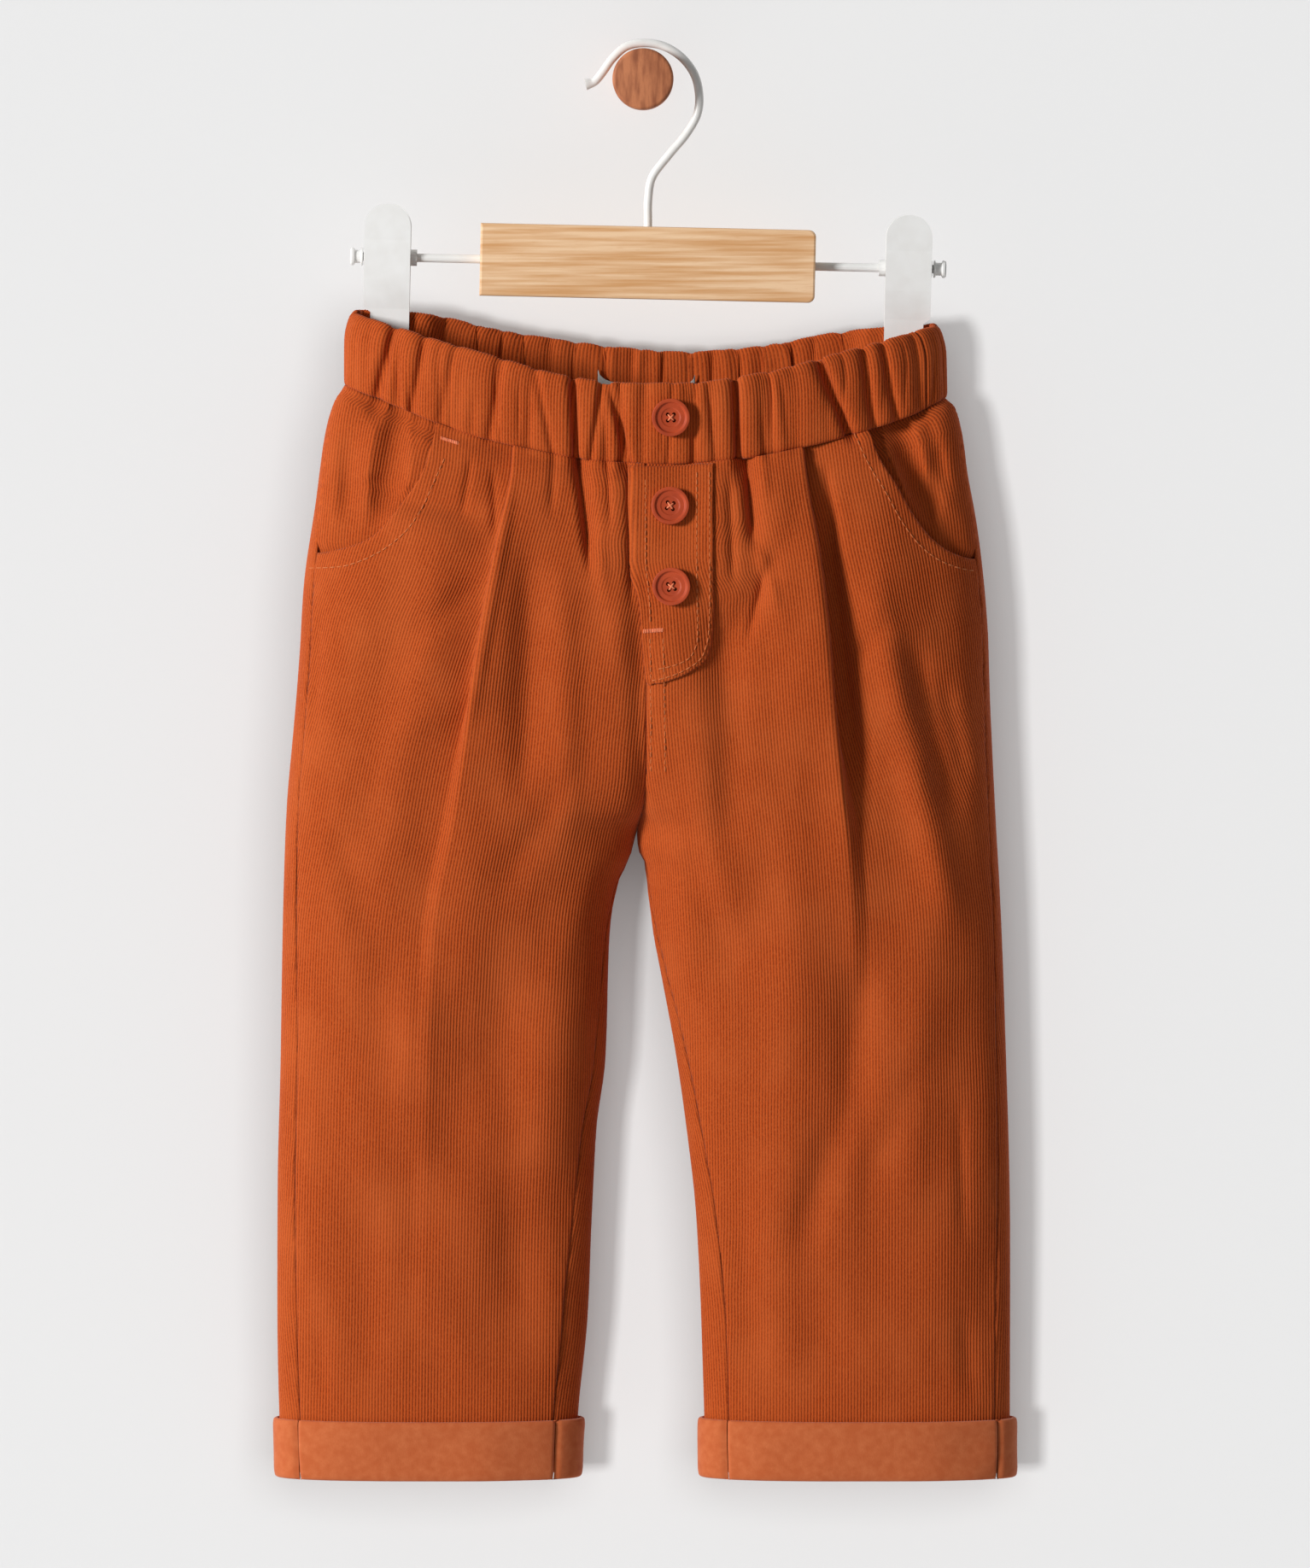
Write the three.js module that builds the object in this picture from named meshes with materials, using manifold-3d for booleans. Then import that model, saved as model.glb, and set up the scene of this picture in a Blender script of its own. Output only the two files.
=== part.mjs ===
// A child's needlecord pull-on trousers, held by their back waistband in a clip hanger
// that hangs from a round wooden peg on a wall.
// Millimetres, +Z up, +X to the right as seen from the front, +Y into the wall.
// The origin is the middle of the peg's back face. "Right" and "left" are the wearer's,
// so the right leg is on the -X side.
import * as THREE from "three";
import { mergeVertices } from "three/addons/utils/BufferGeometryUtils.js";
import Module from "manifold-3d";

const wasm = await Module();
wasm.setup();

// Cloth walls and seams
const CLOTH = 1.2;
const BAND = 2.6;
const CUFF = 2.0;
const PLACKET = 1.0;
const LABEL = 1.0;
const SEAM_GAP = 0.3;
const WAIST_GAP = 0.8;
const SEAM_EASE = 2.2;

// Heights that the whole garment is set out from
const WAIST_SIDE_Z = -122;
const HEM_Z = -562;
const CROTCH_Z = -300;
const SAG_REACH = 130;
const BAND_HEIGHT = 31;

// Waist seam and band edges, from the wearer's right side to the left
const FRONT_SEAM = [
  { x: -119, z: -122 },
  { x: -104, z: -127.5 },
  { x: -88, z: -134 },
  { x: -69, z: -140.8 },
  { x: -45, z: -146.6 },
  { x: -18, z: -151.2 },
  { x: 8, z: -152.5 },
  { x: 40, z: -150.3 },
  { x: 62, z: -146.3 },
  { x: 87, z: -140 },
  { x: 106, z: -133.8 },
  { x: 120.5, z: -127 },
];
const FRONT_TOP = [
  { x: -116, z: -93 },
  { x: -92, z: -100.3 },
  { x: -57, z: -110.5 },
  { x: -32, z: -117.3 },
  { x: -8, z: -120.4 },
  { x: 16, z: -120.4 },
  { x: 50, z: -115.9 },
  { x: 77, z: -108.8 },
  { x: 117, z: -98 },
];
const BACK_SEAM = [
  { x: -119, z: -122 },
  { x: -78, z: -128.5 },
  { x: -39, z: -135.5 },
  { x: 2, z: -140 },
  { x: 43, z: -139 },
  { x: 84, z: -133 },
  { x: 120.5, z: -127 },
];
const BACK_TOP = [
  { x: -116, z: -92 },
  { x: -92, z: -93 },
  { x: -53, z: -100.8 },
  { x: -16, z: -106.2 },
  { x: 16, z: -108.8 },
  { x: 43, z: -106.9 },
  { x: 84, z: -100.1 },
  { x: 117, z: -97.5 },
];

// Centre front and centre back line, down to where the legs part
const CENTRE = [
  { z: -110, x: 1.4 },
  { z: -270, x: 1.4 },
  { z: -287, x: 0.7 },
  { z: -300, x: -2.4 },
];

// Outer and inner outlines of each leg, as distances outwards from x = 0
const OUTLINES = {
  right: {
    outer: [
      { z: -122, out: 119.7 },
      { z: -123.6, out: 119.9 },
      { z: -128, out: 123 },
      { z: -139, out: 126.5 },
      { z: -169, out: 130.9 },
      { z: -205, out: 136 },
      { z: -227, out: 137.3 },
      { z: -258, out: 139.8 },
      { z: -292, out: 142.9 },
      { z: -340, out: 144.6 },
      { z: -394, out: 145.6 },
      { z: -445, out: 147 },
      { z: -500, out: 147.3 },
      { z: HEM_Z, out: 146 },
    ],
    inner: [
      { z: -300, out: 2.4 },
      { z: -310.6, out: 5.1 },
      { z: -321.6, out: 10.2 },
      { z: -340, out: 13.3 },
      { z: -394, out: 15.3 },
      { z: -421, out: 18.8 },
      { z: -459, out: 20.8 },
      { z: -497, out: 22.4 },
      { z: -538, out: 26.4 },
      { z: HEM_Z, out: 27.5 },
    ],
  },
  left: {
    outer: [
      { z: -127, out: 121.1 },
      { z: -128, out: 121.4 },
      { z: -131.5, out: 124.8 },
      { z: -140, out: 127.3 },
      { z: -158, out: 129.9 },
      { z: -179, out: 133.7 },
      { z: -198, out: 136.1 },
      { z: -222, out: 138.1 },
      { z: -251, out: 139.1 },
      { z: -292, out: 141.2 },
      { z: -343, out: 144 },
      { z: -394, out: 145.9 },
      { z: -462, out: 147.7 },
      { z: HEM_Z, out: 147.9 },
    ],
    inner: [
      { z: -300, out: -2.4 },
      { z: -307, out: -2.2 },
      { z: -314, out: 0.7 },
      { z: -329.7, out: 2.7 },
      { z: -343.4, out: 4.4 },
      { z: -356, out: 6.8 },
      { z: -387, out: 12.6 },
      { z: -411, out: 16.2 },
      { z: -459, out: 21.6 },
      { z: -513, out: 24 },
      { z: HEM_Z, out: 25.4 },
    ],
  },
};

// How far inside the outline, on the front, the side seam and the inseam lie
const SEAM_INSETS = {
  right: [
    { z: -122, side: 1.2, inner: 0 },
    { z: -170, side: 2.6, inner: 0 },
    { z: -200, side: 3.6, inner: 0 },
    { z: CROTCH_Z, side: 4.6, inner: 0 },
    { z: -394, side: 6.5, inner: 4 },
    { z: -459, side: 7, inner: 7.2 },
    { z: -497, side: 7.6, inner: 9.4 },
    { z: HEM_Z, side: 8.5, inner: 9 },
  ],
  left: [
    { z: -122, side: 1.2, inner: 0 },
    { z: -200, side: 2, inner: 0 },
    { z: CROTCH_Z, side: 2.6, inner: 0 },
    { z: -411, side: 4, inner: 5 },
    { z: -459, side: 5, inner: 7.5 },
    { z: -497, side: 5.6, inner: 9.2 },
    { z: HEM_Z, side: 6.2, inner: 9.5 },
  ],
};

// Cross-sections at each level. crest is the share of the half width where the section is
// deepest, front and back are its depths either side of the plane, and the pinches say how
// far the centre front and centre back have closed towards the crotch point.
const SECTIONS = [
  { z: -122, crest: 0, power: 2, front: 29, back: 17, plane: -43, pinchFront: 0, pinchBack: 0 },
  { z: -124, crest: 0, power: 2, front: 29, back: 17, plane: -43, pinchFront: 0, pinchBack: 0 },
  { z: -131, crest: 0.04, power: 2.1, front: 31.4, back: 18.6, plane: -43, pinchFront: 0, pinchBack: 0 },
  { z: -148, crest: 0.1, power: 2.3, front: 33.2, back: 20.5, plane: -43, pinchFront: 0, pinchBack: 0 },
  { z: -190, crest: 0.21, power: 2.55, front: 34, back: 23, plane: -43, pinchFront: 0, pinchBack: 0 },
  { z: -235, crest: 0.34, power: 2.65, front: 32, back: 24.4, plane: -42.6, pinchFront: 0, pinchBack: 0.1 },
  { z: -265, crest: 0.42, power: 2.65, front: 29.6, back: 24, plane: -42.3, pinchFront: 0.04, pinchBack: 0.36 },
  { z: -290, crest: 0.48, power: 2.6, front: 27.6, back: 23, plane: -41.8, pinchFront: 0.5, pinchBack: 0.8 },
  { z: -299.9, crest: 0.5, power: 2.55, front: 27, back: 22.5, plane: -41.6, pinchFront: 1, pinchBack: 1 },
  { z: -307, crest: 0.5, power: 2.55, front: 26.6, back: 22.2, plane: -41.5, pinchFront: 1, pinchBack: 1 },
  { z: -340, crest: 0.5, power: 2.5, front: 24.6, back: 20.6, plane: -40.8, pinchFront: 1, pinchBack: 1 },
  { z: -400, crest: 0.5, power: 2.5, front: 21.6, back: 18.6, plane: -39.2, pinchFront: 1, pinchBack: 1 },
  { z: -460, crest: 0.5, power: 2.5, front: 18.8, back: 17, plane: -37.2, pinchFront: 1, pinchBack: 1 },
  { z: -520, crest: 0.5, power: 2.5, front: 16.2, back: 15.6, plane: -35.2, pinchFront: 1, pinchBack: 1 },
  { z: HEM_Z, crest: 0.5, power: 2.5, front: 15, back: 15, plane: -34, pinchFront: 1, pinchBack: 1 },
];

// The knife pleat of each front. nose is where its folded edge lies, turn is how far the cloth
// turns back there in degrees, take is the cloth hidden in it, and hollow is how far beyond the
// edge the cloth underneath takes to rise again.
const PLEATS = {
  right: [
    { z: -136, nose: 51, turn: 180, take: 8, hollow: 24 },
    { z: -155, nose: 51.8, turn: 178, take: 8, hollow: 24 },
    { z: -184, nose: 58, turn: 165, take: 7, hollow: 24 },
    { z: -222, nose: 65.1, turn: 128, take: 5, hollow: 24 },
    { z: -255, nose: 70, turn: 82, take: 3.6, hollow: 26 },
    { z: -290, nose: 75.4, turn: 42, take: 3, hollow: 28 },
    { z: -343, nose: 84.6, turn: 20, take: 3, hollow: 28 },
    { z: -420, nose: 87.5, turn: 8, take: 3, hollow: 26 },
    { z: -520, nose: 89.5, turn: 3, take: 3, hollow: 20 },
    { z: HEM_Z, nose: 90, turn: 1, take: 3, hollow: 20 },
  ],
  left: [
    { z: -136, nose: 62.2, turn: 180, take: 9, hollow: 22 },
    { z: -161, nose: 65.1, turn: 176, take: 8.5, hollow: 23 },
    { z: -188, nose: 69.9, turn: 158, take: 8, hollow: 25 },
    { z: -220, nose: 73.7, turn: 126, take: 8, hollow: 28 },
    { z: -252, nose: 76.4, turn: 100, take: 7.5, hollow: 31 },
    { z: -280, nose: 79.5, turn: 74, take: 6, hollow: 33 },
    { z: -305, nose: 82.6, turn: 40, take: 4.5, hollow: 32 },
    { z: -345, nose: 85.2, turn: 15, take: 3.4, hollow: 28 },
    { z: -420, nose: 86, turn: 5, take: 3, hollow: 22 },
    { z: HEM_Z, nose: 86, turn: 1, take: 3, hollow: 20 },
  ],
};
const PLEAT_NOSE = 0.95;
const PLEAT_ARC = 2.2;
const PLEAT_LIFT = 0.4;
const PLEAT_LIFT_REACH = 25;

// Soft folds of the fronts and backs: a ridge where rise is positive, a trough where it is not
const FRONT_FOLDS = [
  { x0: -25.5, z0: -130, x1: -19, z1: -196, rise: -3.4, width: 3.2 },
  { x0: -11, z0: -132, x1: -9, z1: -250, rise: 1.8, width: 5.5 },
  { x0: -1, z0: -205, x1: 0.5, z1: -300, rise: -2, width: 5 },
  { x0: -46, z0: -170, x1: -47, z1: -300, rise: -2.2, width: 6.5 },
  { x0: -33, z0: -175, x1: -29, z1: -310, rise: 1.6, width: 6 },
  { x0: -112, z0: -164, x1: -60, z1: -173, rise: -2.2, width: 4.6 },
  { x0: -110, z0: -174, x1: -62, z1: -186, rise: 1.6, width: 6.5 },
  { x0: -97, z0: -195, x1: -112, z1: -330, rise: -2.6, width: 11 },
  { x0: -124, z0: -292, x1: -108, z1: -345, rise: -1.8, width: 7 },
  { x0: -92, z0: -345, x1: -92, z1: -445, rise: 1.6, width: 9 },
  { x0: -58, z0: -330, x1: -50, z1: -520, rise: -1.6, width: 10 },
  { x0: -112, z0: -430, x1: -107, z1: -533, rise: -1.2, width: 8 },
  { x0: -130, z0: -500, x1: -128, z1: -536, rise: -1, width: 3.6 },
  { x0: 39, z0: -132, x1: 45.5, z1: -192, rise: -3.2, width: 3.2 },
  { x0: 52, z0: -140, x1: 54, z1: -235, rise: 1.6, width: 7 },
  { x0: 60, z0: -176, x1: 33, z1: -228, rise: -1.6, width: 5.5 },
  { x0: 32, z0: -190, x1: 34.5, z1: -330, rise: -4, width: 8.5 },
  { x0: 58, z0: -215, x1: 58, z1: -500, rise: 2.4, width: 11 },
  { x0: 88, z0: -190, x1: 107, z1: -270, rise: 2.4, width: 7 },
  { x0: 103, z0: -255, x1: 127, z1: -345, rise: 3, width: 7 },
  { x0: 104, z0: -215, x1: 126, z1: -300, rise: -2.6, width: 6 },
  { x0: 12, z0: -285, x1: 20, z1: -375, rise: 1.5, width: 6 },
  { x0: 87, z0: -345, x1: 82, z1: -425, rise: -2.4, width: 7.5 },
  { x0: 83, z0: -405, x1: 58, z1: -480, rise: -2.2, width: 8 },
  { x0: 112, z0: -350, x1: 106, z1: -470, rise: 1.6, width: 9 },
  { x0: 38, z0: -440, x1: 46, z1: -533, rise: -1.3, width: 7 },
  { x0: 128, z0: -490, x1: 132, z1: -536, rise: -1, width: 4 },
];
const FACING_FOLDS = [
  { x0: -96, z0: -124, x1: -107, z1: -186, rise: -2.4, width: 4.4 },
  { x0: -121, z0: -130, x1: -117, z1: -180, rise: -1.2, width: 4 },
  { x0: 97, z0: -128, x1: 118, z1: -180, rise: -2.6, width: 4.4 },
  { x0: 121, z0: -140, x1: 112, z1: -184, rise: -1, width: 4 },
];
const BACK_FOLDS = [
  { x0: -97, z0: -112, x1: -60, z1: -215, rise: -3, width: 9 },
  { x0: 97, z0: -112, x1: 62, z1: -205, rise: -3, width: 9 },
  { x0: -36, z0: -125, x1: -44, z1: -205, rise: -2.4, width: 5.5 },
  { x0: 30, z0: -125, x1: 37, z1: -195, rise: -2.4, width: 5.5 },
  { x0: -12, z0: -200, x1: -72, z1: -262, rise: -2.6, width: 9 },
  { x0: 14, z0: -205, x1: 76, z1: -258, rise: -2.6, width: 9 },
  { x0: -18, z0: -270, x1: -88, z1: -318, rise: -2.2, width: 8 },
  { x0: 20, z0: -272, x1: 92, z1: -325, rise: -2.2, width: 8 },
  { x0: -88, z0: -330, x1: -78, z1: -500, rise: 1.8, width: 12 },
  { x0: 90, z0: -320, x1: 84, z1: -500, rise: 1.8, width: 12 },
  { x0: -118, z0: -400, x1: -112, z1: -530, rise: -1.4, width: 8 },
  { x0: 118, z0: -390, x1: 112, z1: -530, rise: -1.4, width: 8 },
  { x0: -50, z0: -430, x1: -56, z1: -530, rise: -1.2, width: 7 },
  { x0: 50, z0: -420, x1: 56, z1: -530, rise: -1.2, width: 7 },
];
const FOLD_FADE = 0.3;
const EDGE_FADE = 9;
const HEM_FADE = 24;

// Gathers of the band: where each valley stands at the top edge and at the waist seam,
// and how far below the seam it runs on
const FRONT_GATHERS = [
  { top: -108, seam: -111, depth: 0.8, width: 2.6, reach: 6 },
  { top: -98.9, seam: -106, depth: 1.8, width: 2.6, reach: 14 },
  { top: -96.2, seam: -98.5, depth: 1.4, width: 2.4, reach: 6 },
  { top: -86.6, seam: -90.7, depth: 1.2, width: 3, reach: 22 },
  { top: -72, seam: -75, depth: 0.6, width: 3, reach: 4 },
  { top: -57, seam: -61.4, depth: 0.9, width: 3, reach: 4 },
  { top: -44, seam: -46, depth: 0.7, width: 2.8, reach: 4 },
  { top: -28, seam: -26.6, depth: 2.6, width: 2.4, reach: 18 },
  { top: -16.4, seam: -14.7, depth: 1.4, width: 2.4, reach: 6 },
  { top: -9.4, seam: -8, depth: 2.2, width: 2.2, reach: 10 },
  { top: 1, seam: 0, depth: 0.9, width: 2.2, reach: 1 },
  { top: 17.5, seam: 21.8, depth: 0.9, width: 2.6, reach: 3 },
  { top: 27, seam: 29, depth: 0.8, width: 2.4, reach: 3 },
  { top: 36.5, seam: 38, depth: 2.6, width: 2.4, reach: 16 },
  { top: 47, seam: 49.5, depth: 1, width: 2.6, reach: 5 },
  { top: 58, seam: 61, depth: 0.7, width: 2.8, reach: 4 },
  { top: 68.5, seam: 82.5, depth: 2.4, width: 2.6, reach: 8 },
  { top: 87, seam: 92.1, depth: 1.3, width: 2.6, reach: 22 },
  { top: 94.8, seam: 101, depth: 1.1, width: 2.6, reach: 8 },
  { top: 107, seam: 110.5, depth: 0.9, width: 2.6, reach: 6 },
];
const BACK_GATHERS = [
  { top: -80.8, seam: -83, depth: 1.8, width: 2.6, reach: 10 },
  { top: -67.5, seam: -66, depth: 1.4, width: 2.6, reach: 8 },
  { top: -57, seam: -58.5, depth: 1, width: 2.4, reach: 6 },
  { top: -48.8, seam: -47, depth: 2, width: 2.6, reach: 14 },
  { top: -37, seam: -38.5, depth: 1, width: 2.4, reach: 6 },
  { top: -27.3, seam: -28.5, depth: 1.8, width: 2.6, reach: 10 },
  { top: -16, seam: -15, depth: 2.4, width: 2.4, reach: 14 },
  { top: -4, seam: -5, depth: 0.8, width: 2.6, reach: 5 },
  { top: 8, seam: 7, depth: 0.9, width: 2.6, reach: 5 },
  { top: 19.1, seam: 20.5, depth: 2.4, width: 2.4, reach: 14 },
  { top: 28, seam: 27, depth: 1, width: 2.4, reach: 6 },
  { top: 37.9, seam: 39, depth: 1.8, width: 2.6, reach: 12 },
  { top: 48.8, seam: 48, depth: 1.4, width: 2.6, reach: 8 },
  { top: 59, seam: 60.5, depth: 1.8, width: 2.6, reach: 10 },
  { top: 69, seam: 68, depth: 1, width: 2.4, reach: 6 },
  { top: 79.8, seam: 82, depth: 1.8, width: 2.6, reach: 10 },
];

// The waistband's loop seen from above, and its half width from the top edge to the seam
const BAND_MIDDLE_X = 0.8;
const BAND_HALF = [
  { down: 0, half: 114.4 },
  { down: 0.12, half: 117.3 },
  { down: 0.4, half: 119.2 },
  { down: 1, half: 119.6 },
];
const BAND_SEAMS = { left: 112.6, rightTurn: 3.2 };
const BAND_ROWS = [0, 0.14, 0.52, 1];
const BAND_STEPS = 62;
const BAND_BEND = 9;
const BAND_END_STEPS = [0, 0.5, 1.7];
const CLIP_RELEASE = 0.12;

// Pocket mouths: where the front's cut edge runs, from the waist seam to the side seam
const POCKETS = {
  right: [
    { z: -134, out: 81.6 },
    { z: -142.2, out: 83.2 },
    { z: -156.9, out: 88 },
    { z: -168.1, out: 95.5 },
    { z: -177, out: 102.5 },
    { z: -182.4, out: 108.5 },
    { z: -186.2, out: 117.5 },
    { z: -189, out: 131 },
    { z: -189.6, out: 145 },
  ],
  left: [
    { z: -136, out: 88.4 },
    { z: -150, out: 93.8 },
    { z: -161, out: 100.6 },
    { z: -173.6, out: 107.8 },
    { z: -182.8, out: 115 },
    { z: -188.2, out: 122.4 },
    { z: -191.4, out: 132 },
    { z: -192.2, out: 145 },
  ],
};
const POCKET_UNDERLAP = 6;
const FACING_WIDTH = 17;
const FACING_GAP = 1.7;
const FACING_GAPE = 1.4;

// The mock fly's free edge and its curved stitched edge
const FLY = [
  { z: -152, free: -4.8, stitched: 28 },
  { z: -190, free: -5.4, stitched: 28 },
  { z: -209, free: -1.6, stitched: 28 },
  { z: -222, free: -0.4, stitched: 27 },
  { z: -230.5, free: 0.6, stitched: 24.6 },
  { z: -236.5, free: 1.4, stitched: 16.5 },
  { z: -239.6, free: 1.8, stitched: 8 },
  { z: -240.6, free: 2, stitched: 4.4 },
];
const FLY_STRAIGHT_Z = -200;
const FLY_TOP_GAP = 1.3;
const FLY_GAP = 0.45;

const BUTTON = { radius: 7.5, rim: 6.2, dish: 3.9, height: 2.7, dishHeight: 1.5, hole: 0.75, pitch: 1.25 };
const BUTTONS = [
  { name: "button_1", x: 10.9, z: -134.4 },
  { name: "button_2", x: 10.7, z: -169.8 },
  { name: "button_3", x: 11.4, z: -201.4 },
];
const BUTTON_GAP = 0.45;

// Turned-up cuffs: how far out of the leg the wall stands, from its top edge down
const CUFF_TOP_Z = -538;
const CUFF_BOTTOM_Z = -562.4;
const CUFF_ROWS = [
  { down: 0, out: 2.15 },
  { down: 0.14, out: 2.65 },
  { down: 0.86, out: 2.75 },
  { down: 1, out: 2.25 },
];

const LABEL_SIZE = { width: 40, height: 24, x: 1, topZ: -118, tilt: 3.2 };

// Rows of each panel from the waist seam down, and its columns
const LEVEL_STRETCHES = [
  { to: -123.6, steps: 1 },
  { to: -131, steps: 1 },
  { to: -195, steps: 6 },
  { to: -265, steps: 4 },
  { to: -313, steps: 5 },
  { to: -340, steps: 1 },
  { to: -430, steps: 3 },
  { to: -536, steps: 3 },
  { to: HEM_Z + 0.6, steps: 1 },
];
const TOP_COLUMNS = 10;
const NOSE_COLUMNS = 3;
const UNDER_SHARES = [0, 0.14, 0.28, 0.38, 0.46, 0.54, 0.63, 0.75, 0.87, 0.95, 1];
const BACK_COLUMNS = 15;
const FACING_COLUMNS = 7;
const FLY_COLUMNS = 9;

// Hanger and peg
const HANGER = { x: 1.9, y: -36, z: -73.4, tilt: 1.25 };
const BAR = { width: 134, height: 29, depth: 18, corner: 2, bevel: 0.8 };
const WIRE_R = 1.7;
const BORE_R = WIRE_R + SEAM_GAP + 0.1;
const ROD = { right: 117.4, left: 117.8 };
const CAP = { radius: 3.5, length: 5, wall: 1.4 };
const CLIP = { right: 104.2, left: 104.4, width: 18.4, plate: 1.8, top: 21.4, jaw: -37 };
const JAW = { from: -20, to: -22, outer: 2.8 };
const HUB = { radius: 3.3, inner: 2.6, outer: 0.3 };
const PEG = { radius: 12.2, length: 49, chamfer: 1 };
const HOOK_SEAT = 9;
const HOOK_TIP = { radius: 2.3, length: 3 };
const HOOK_ROUTE = [
  { x: 2.1, z: -48 },
  { x: 3.6, z: -39.5 },
  { x: 10.2, z: -30.5 },
  { x: 17.4, z: -21.8 },
  { x: 21.7, z: -14 },
  { x: 22.5, z: -6.8 },
  { x: 20.6, z: 1.7 },
  { x: 15.4, z: 8.7 },
  { x: 8, z: 13.2 },
  { x: 0.2, z: 14.4 },
  { x: -6.6, z: 13 },
  { x: -12.2, z: 8.2 },
  { x: -16.4, z: 2.4 },
  { x: -19.6, z: -1.2 },
  { x: -23, z: -2.2 },
];

const CORD_COLOUR = 0xbe5023;
const FACING_COLOUR = 0xb94c20;
const CUFF_COLOUR = 0xc16437;
const BUTTON_COLOUR = 0xb0482a;
const LABEL_COLOUR = 0xa9a7a4;
const WHITE_COLOUR = 0xededeb;
const BAR_COLOUR = 0xe3bd8b;
const PEG_COLOUR = 0xb0714a;

const clamp01 = (value) => Math.min(1, Math.max(0, value));
const ease = (value) => clamp01(value) ** 2 * (3 - 2 * clamp01(value));
const mix = (from, to, share) => from + (to - from) * share;
const radians = THREE.MathUtils.degToRad;

// A smooth curve with no overshoot through two columns of a table.
function curve(rows, from, to) {
  const sorted = [...rows].sort((a, b) => a[from] - b[from]);
  const x = sorted.map((row) => row[from]);
  const y = sorted.map((row) => row[to]);
  const last = x.length - 1;
  const secant = x.slice(1).map((value, i) => (y[i + 1] - y[i]) / (value - x[i]));
  const slope = y.map((_, i) => {
    if (i === 0) return secant[0];
    if (i === last) return secant[last - 1];
    if (secant[i - 1] * secant[i] <= 0) return 0;
    const before = x[i] - x[i - 1];
    const after = x[i + 1] - x[i];
    const w0 = 2 * after + before;
    const w1 = after + 2 * before;
    return (w0 + w1) / (w0 / secant[i - 1] + w1 / secant[i]);
  });
  return (at) => {
    if (at <= x[0]) return y[0];
    if (at >= x[last]) return y[last];
    const i = x.findIndex((value) => value > at) - 1;
    const h = x[i + 1] - x[i];
    const t = (at - x[i]) / h;
    const rise = y[i] * (1 + 2 * t) * (1 - t) ** 2 + y[i + 1] * t * t * (3 - 2 * t);
    return rise + h * (slope[i] * t * (1 - t) ** 2 - slope[i + 1] * t * t * (1 - t));
  };
}

const curves = (rows, from, columns) =>
  Object.fromEntries(columns.map((column) => [column, curve(rows, from, column)]));

const frontSeamZ = curve(FRONT_SEAM, "x", "z");
const frontTopZ = curve(FRONT_TOP, "x", "z");
const backSeamZ = curve(BACK_SEAM, "x", "z");
const backTopZ = curve(BACK_TOP, "x", "z");
const centreX = curve(CENTRE, "z", "x");
const bandHalf = curve(BAND_HALF, "down", "half");
const flyEdge = curves(FLY, "z", ["free", "stitched"]);
const sectionAt = curves(SECTIONS, "z", Object.keys(SECTIONS[0]).slice(1));

const LEGS = Object.fromEntries(
  [
    ["right", -1],
    ["left", 1],
  ].map(([side, sign]) => [
    side,
    {
      side,
      sign,
      outer: curve(OUTLINES[side].outer, "z", "out"),
      inner: curve(OUTLINES[side].inner, "z", "out"),
      inset: curves(SEAM_INSETS[side], "z", ["side", "inner"]),
      pleat: curves(PLEATS[side], "z", ["nose", "turn", "take", "hollow"]),
      pocket: curve(POCKETS[side], "z", "out"),
      pocketZ: curve(POCKETS[side], "out", "z"),
      pocketEndZ: POCKETS[side].at(-1).z,
    },
  ]),
);

// The panels' rows follow the waist seam at the top and grow level further down.
const sagFade = (level) => 1 - ease((WAIST_SIDE_Z - level) / SAG_REACH);
const frontZ = (level, x) => level + (frontSeamZ(x) - WAIST_SIDE_Z) * sagFade(level);
const backZ = (level, x) => level + (backSeamZ(x) - WAIST_SIDE_Z) * sagFade(level);

// The cross-section of one leg, or of half the seat, at a level.
function section(leg, level, half = "Front") {
  const s = Object.fromEntries(Object.entries(sectionAt).map(([key, at]) => [key, at(level)]));
  const sideZ = frontZ(level, leg.sign * 200);
  const joined = level > CROTCH_Z;
  const closing = joined ? clamp01(1.25 * Math.sqrt(s[`pinch${half}`])) : 1;
  const apart = SEAM_GAP / 2 + (CLOTH / 2) * closing;
  s.outer = leg.outer(sideZ) - CLOTH / 2;
  s.inner = (joined ? leg.sign * centreX(level) : leg.inner(level)) + apart;
  s.crestOut = mix(s.inner, s.outer, s.crest);
  s.sideInset = leg.inset.side(sideZ);
  s.innerInset = leg.inset.inner(level);
  s.joined = joined;
  return s;
}

// Depth of a section at a distance outwards, towards the front or the back.
function sectionDepth(s, out, depth, pinch) {
  const outside = out >= s.crestOut;
  const reach = outside ? s.outer - s.crestOut : s.crestOut - s.inner;
  const q = Math.min(1, Math.abs(out - s.crestOut) / reach);
  const round = Math.sqrt(Math.max(0, 1 - q ** s.power));
  return depth * (outside ? round : 1 - pinch * (1 - round));
}

// Height of one soft fold at a place on the cloth.
function foldRise(fold, x, z) {
  const dx = fold.x1 - fold.x0;
  const dz = fold.z1 - fold.z0;
  const length = Math.hypot(dx, dz);
  const along = ((x - fold.x0) * dx + (z - fold.z0) * dz) / length;
  const across = ((x - fold.x0) * dz - (z - fold.z0) * dx) / length;
  const fade = FOLD_FADE * length;
  const ends = ease(along / fade) * ease((length - along) / fade);
  return fold.rise * ends * Math.exp(-((across / fold.width) ** 2));
}

// Depth of the gathers, where down is 0 at the band's top edge and 1 at the waist seam.
function gatherDepth(gathers, x, down) {
  const below = Math.max(0, down - 1) * BAND_HEIGHT;
  return gathers.reduce((sum, gather) => {
    const middle = mix(gather.top, gather.seam, Math.min(down, 1.4));
    const valley = Math.exp(-(((x - middle) / gather.width) ** 2));
    return sum + gather.depth * valley * (1 - ease(below / gather.reach));
  }, 0);
}

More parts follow.
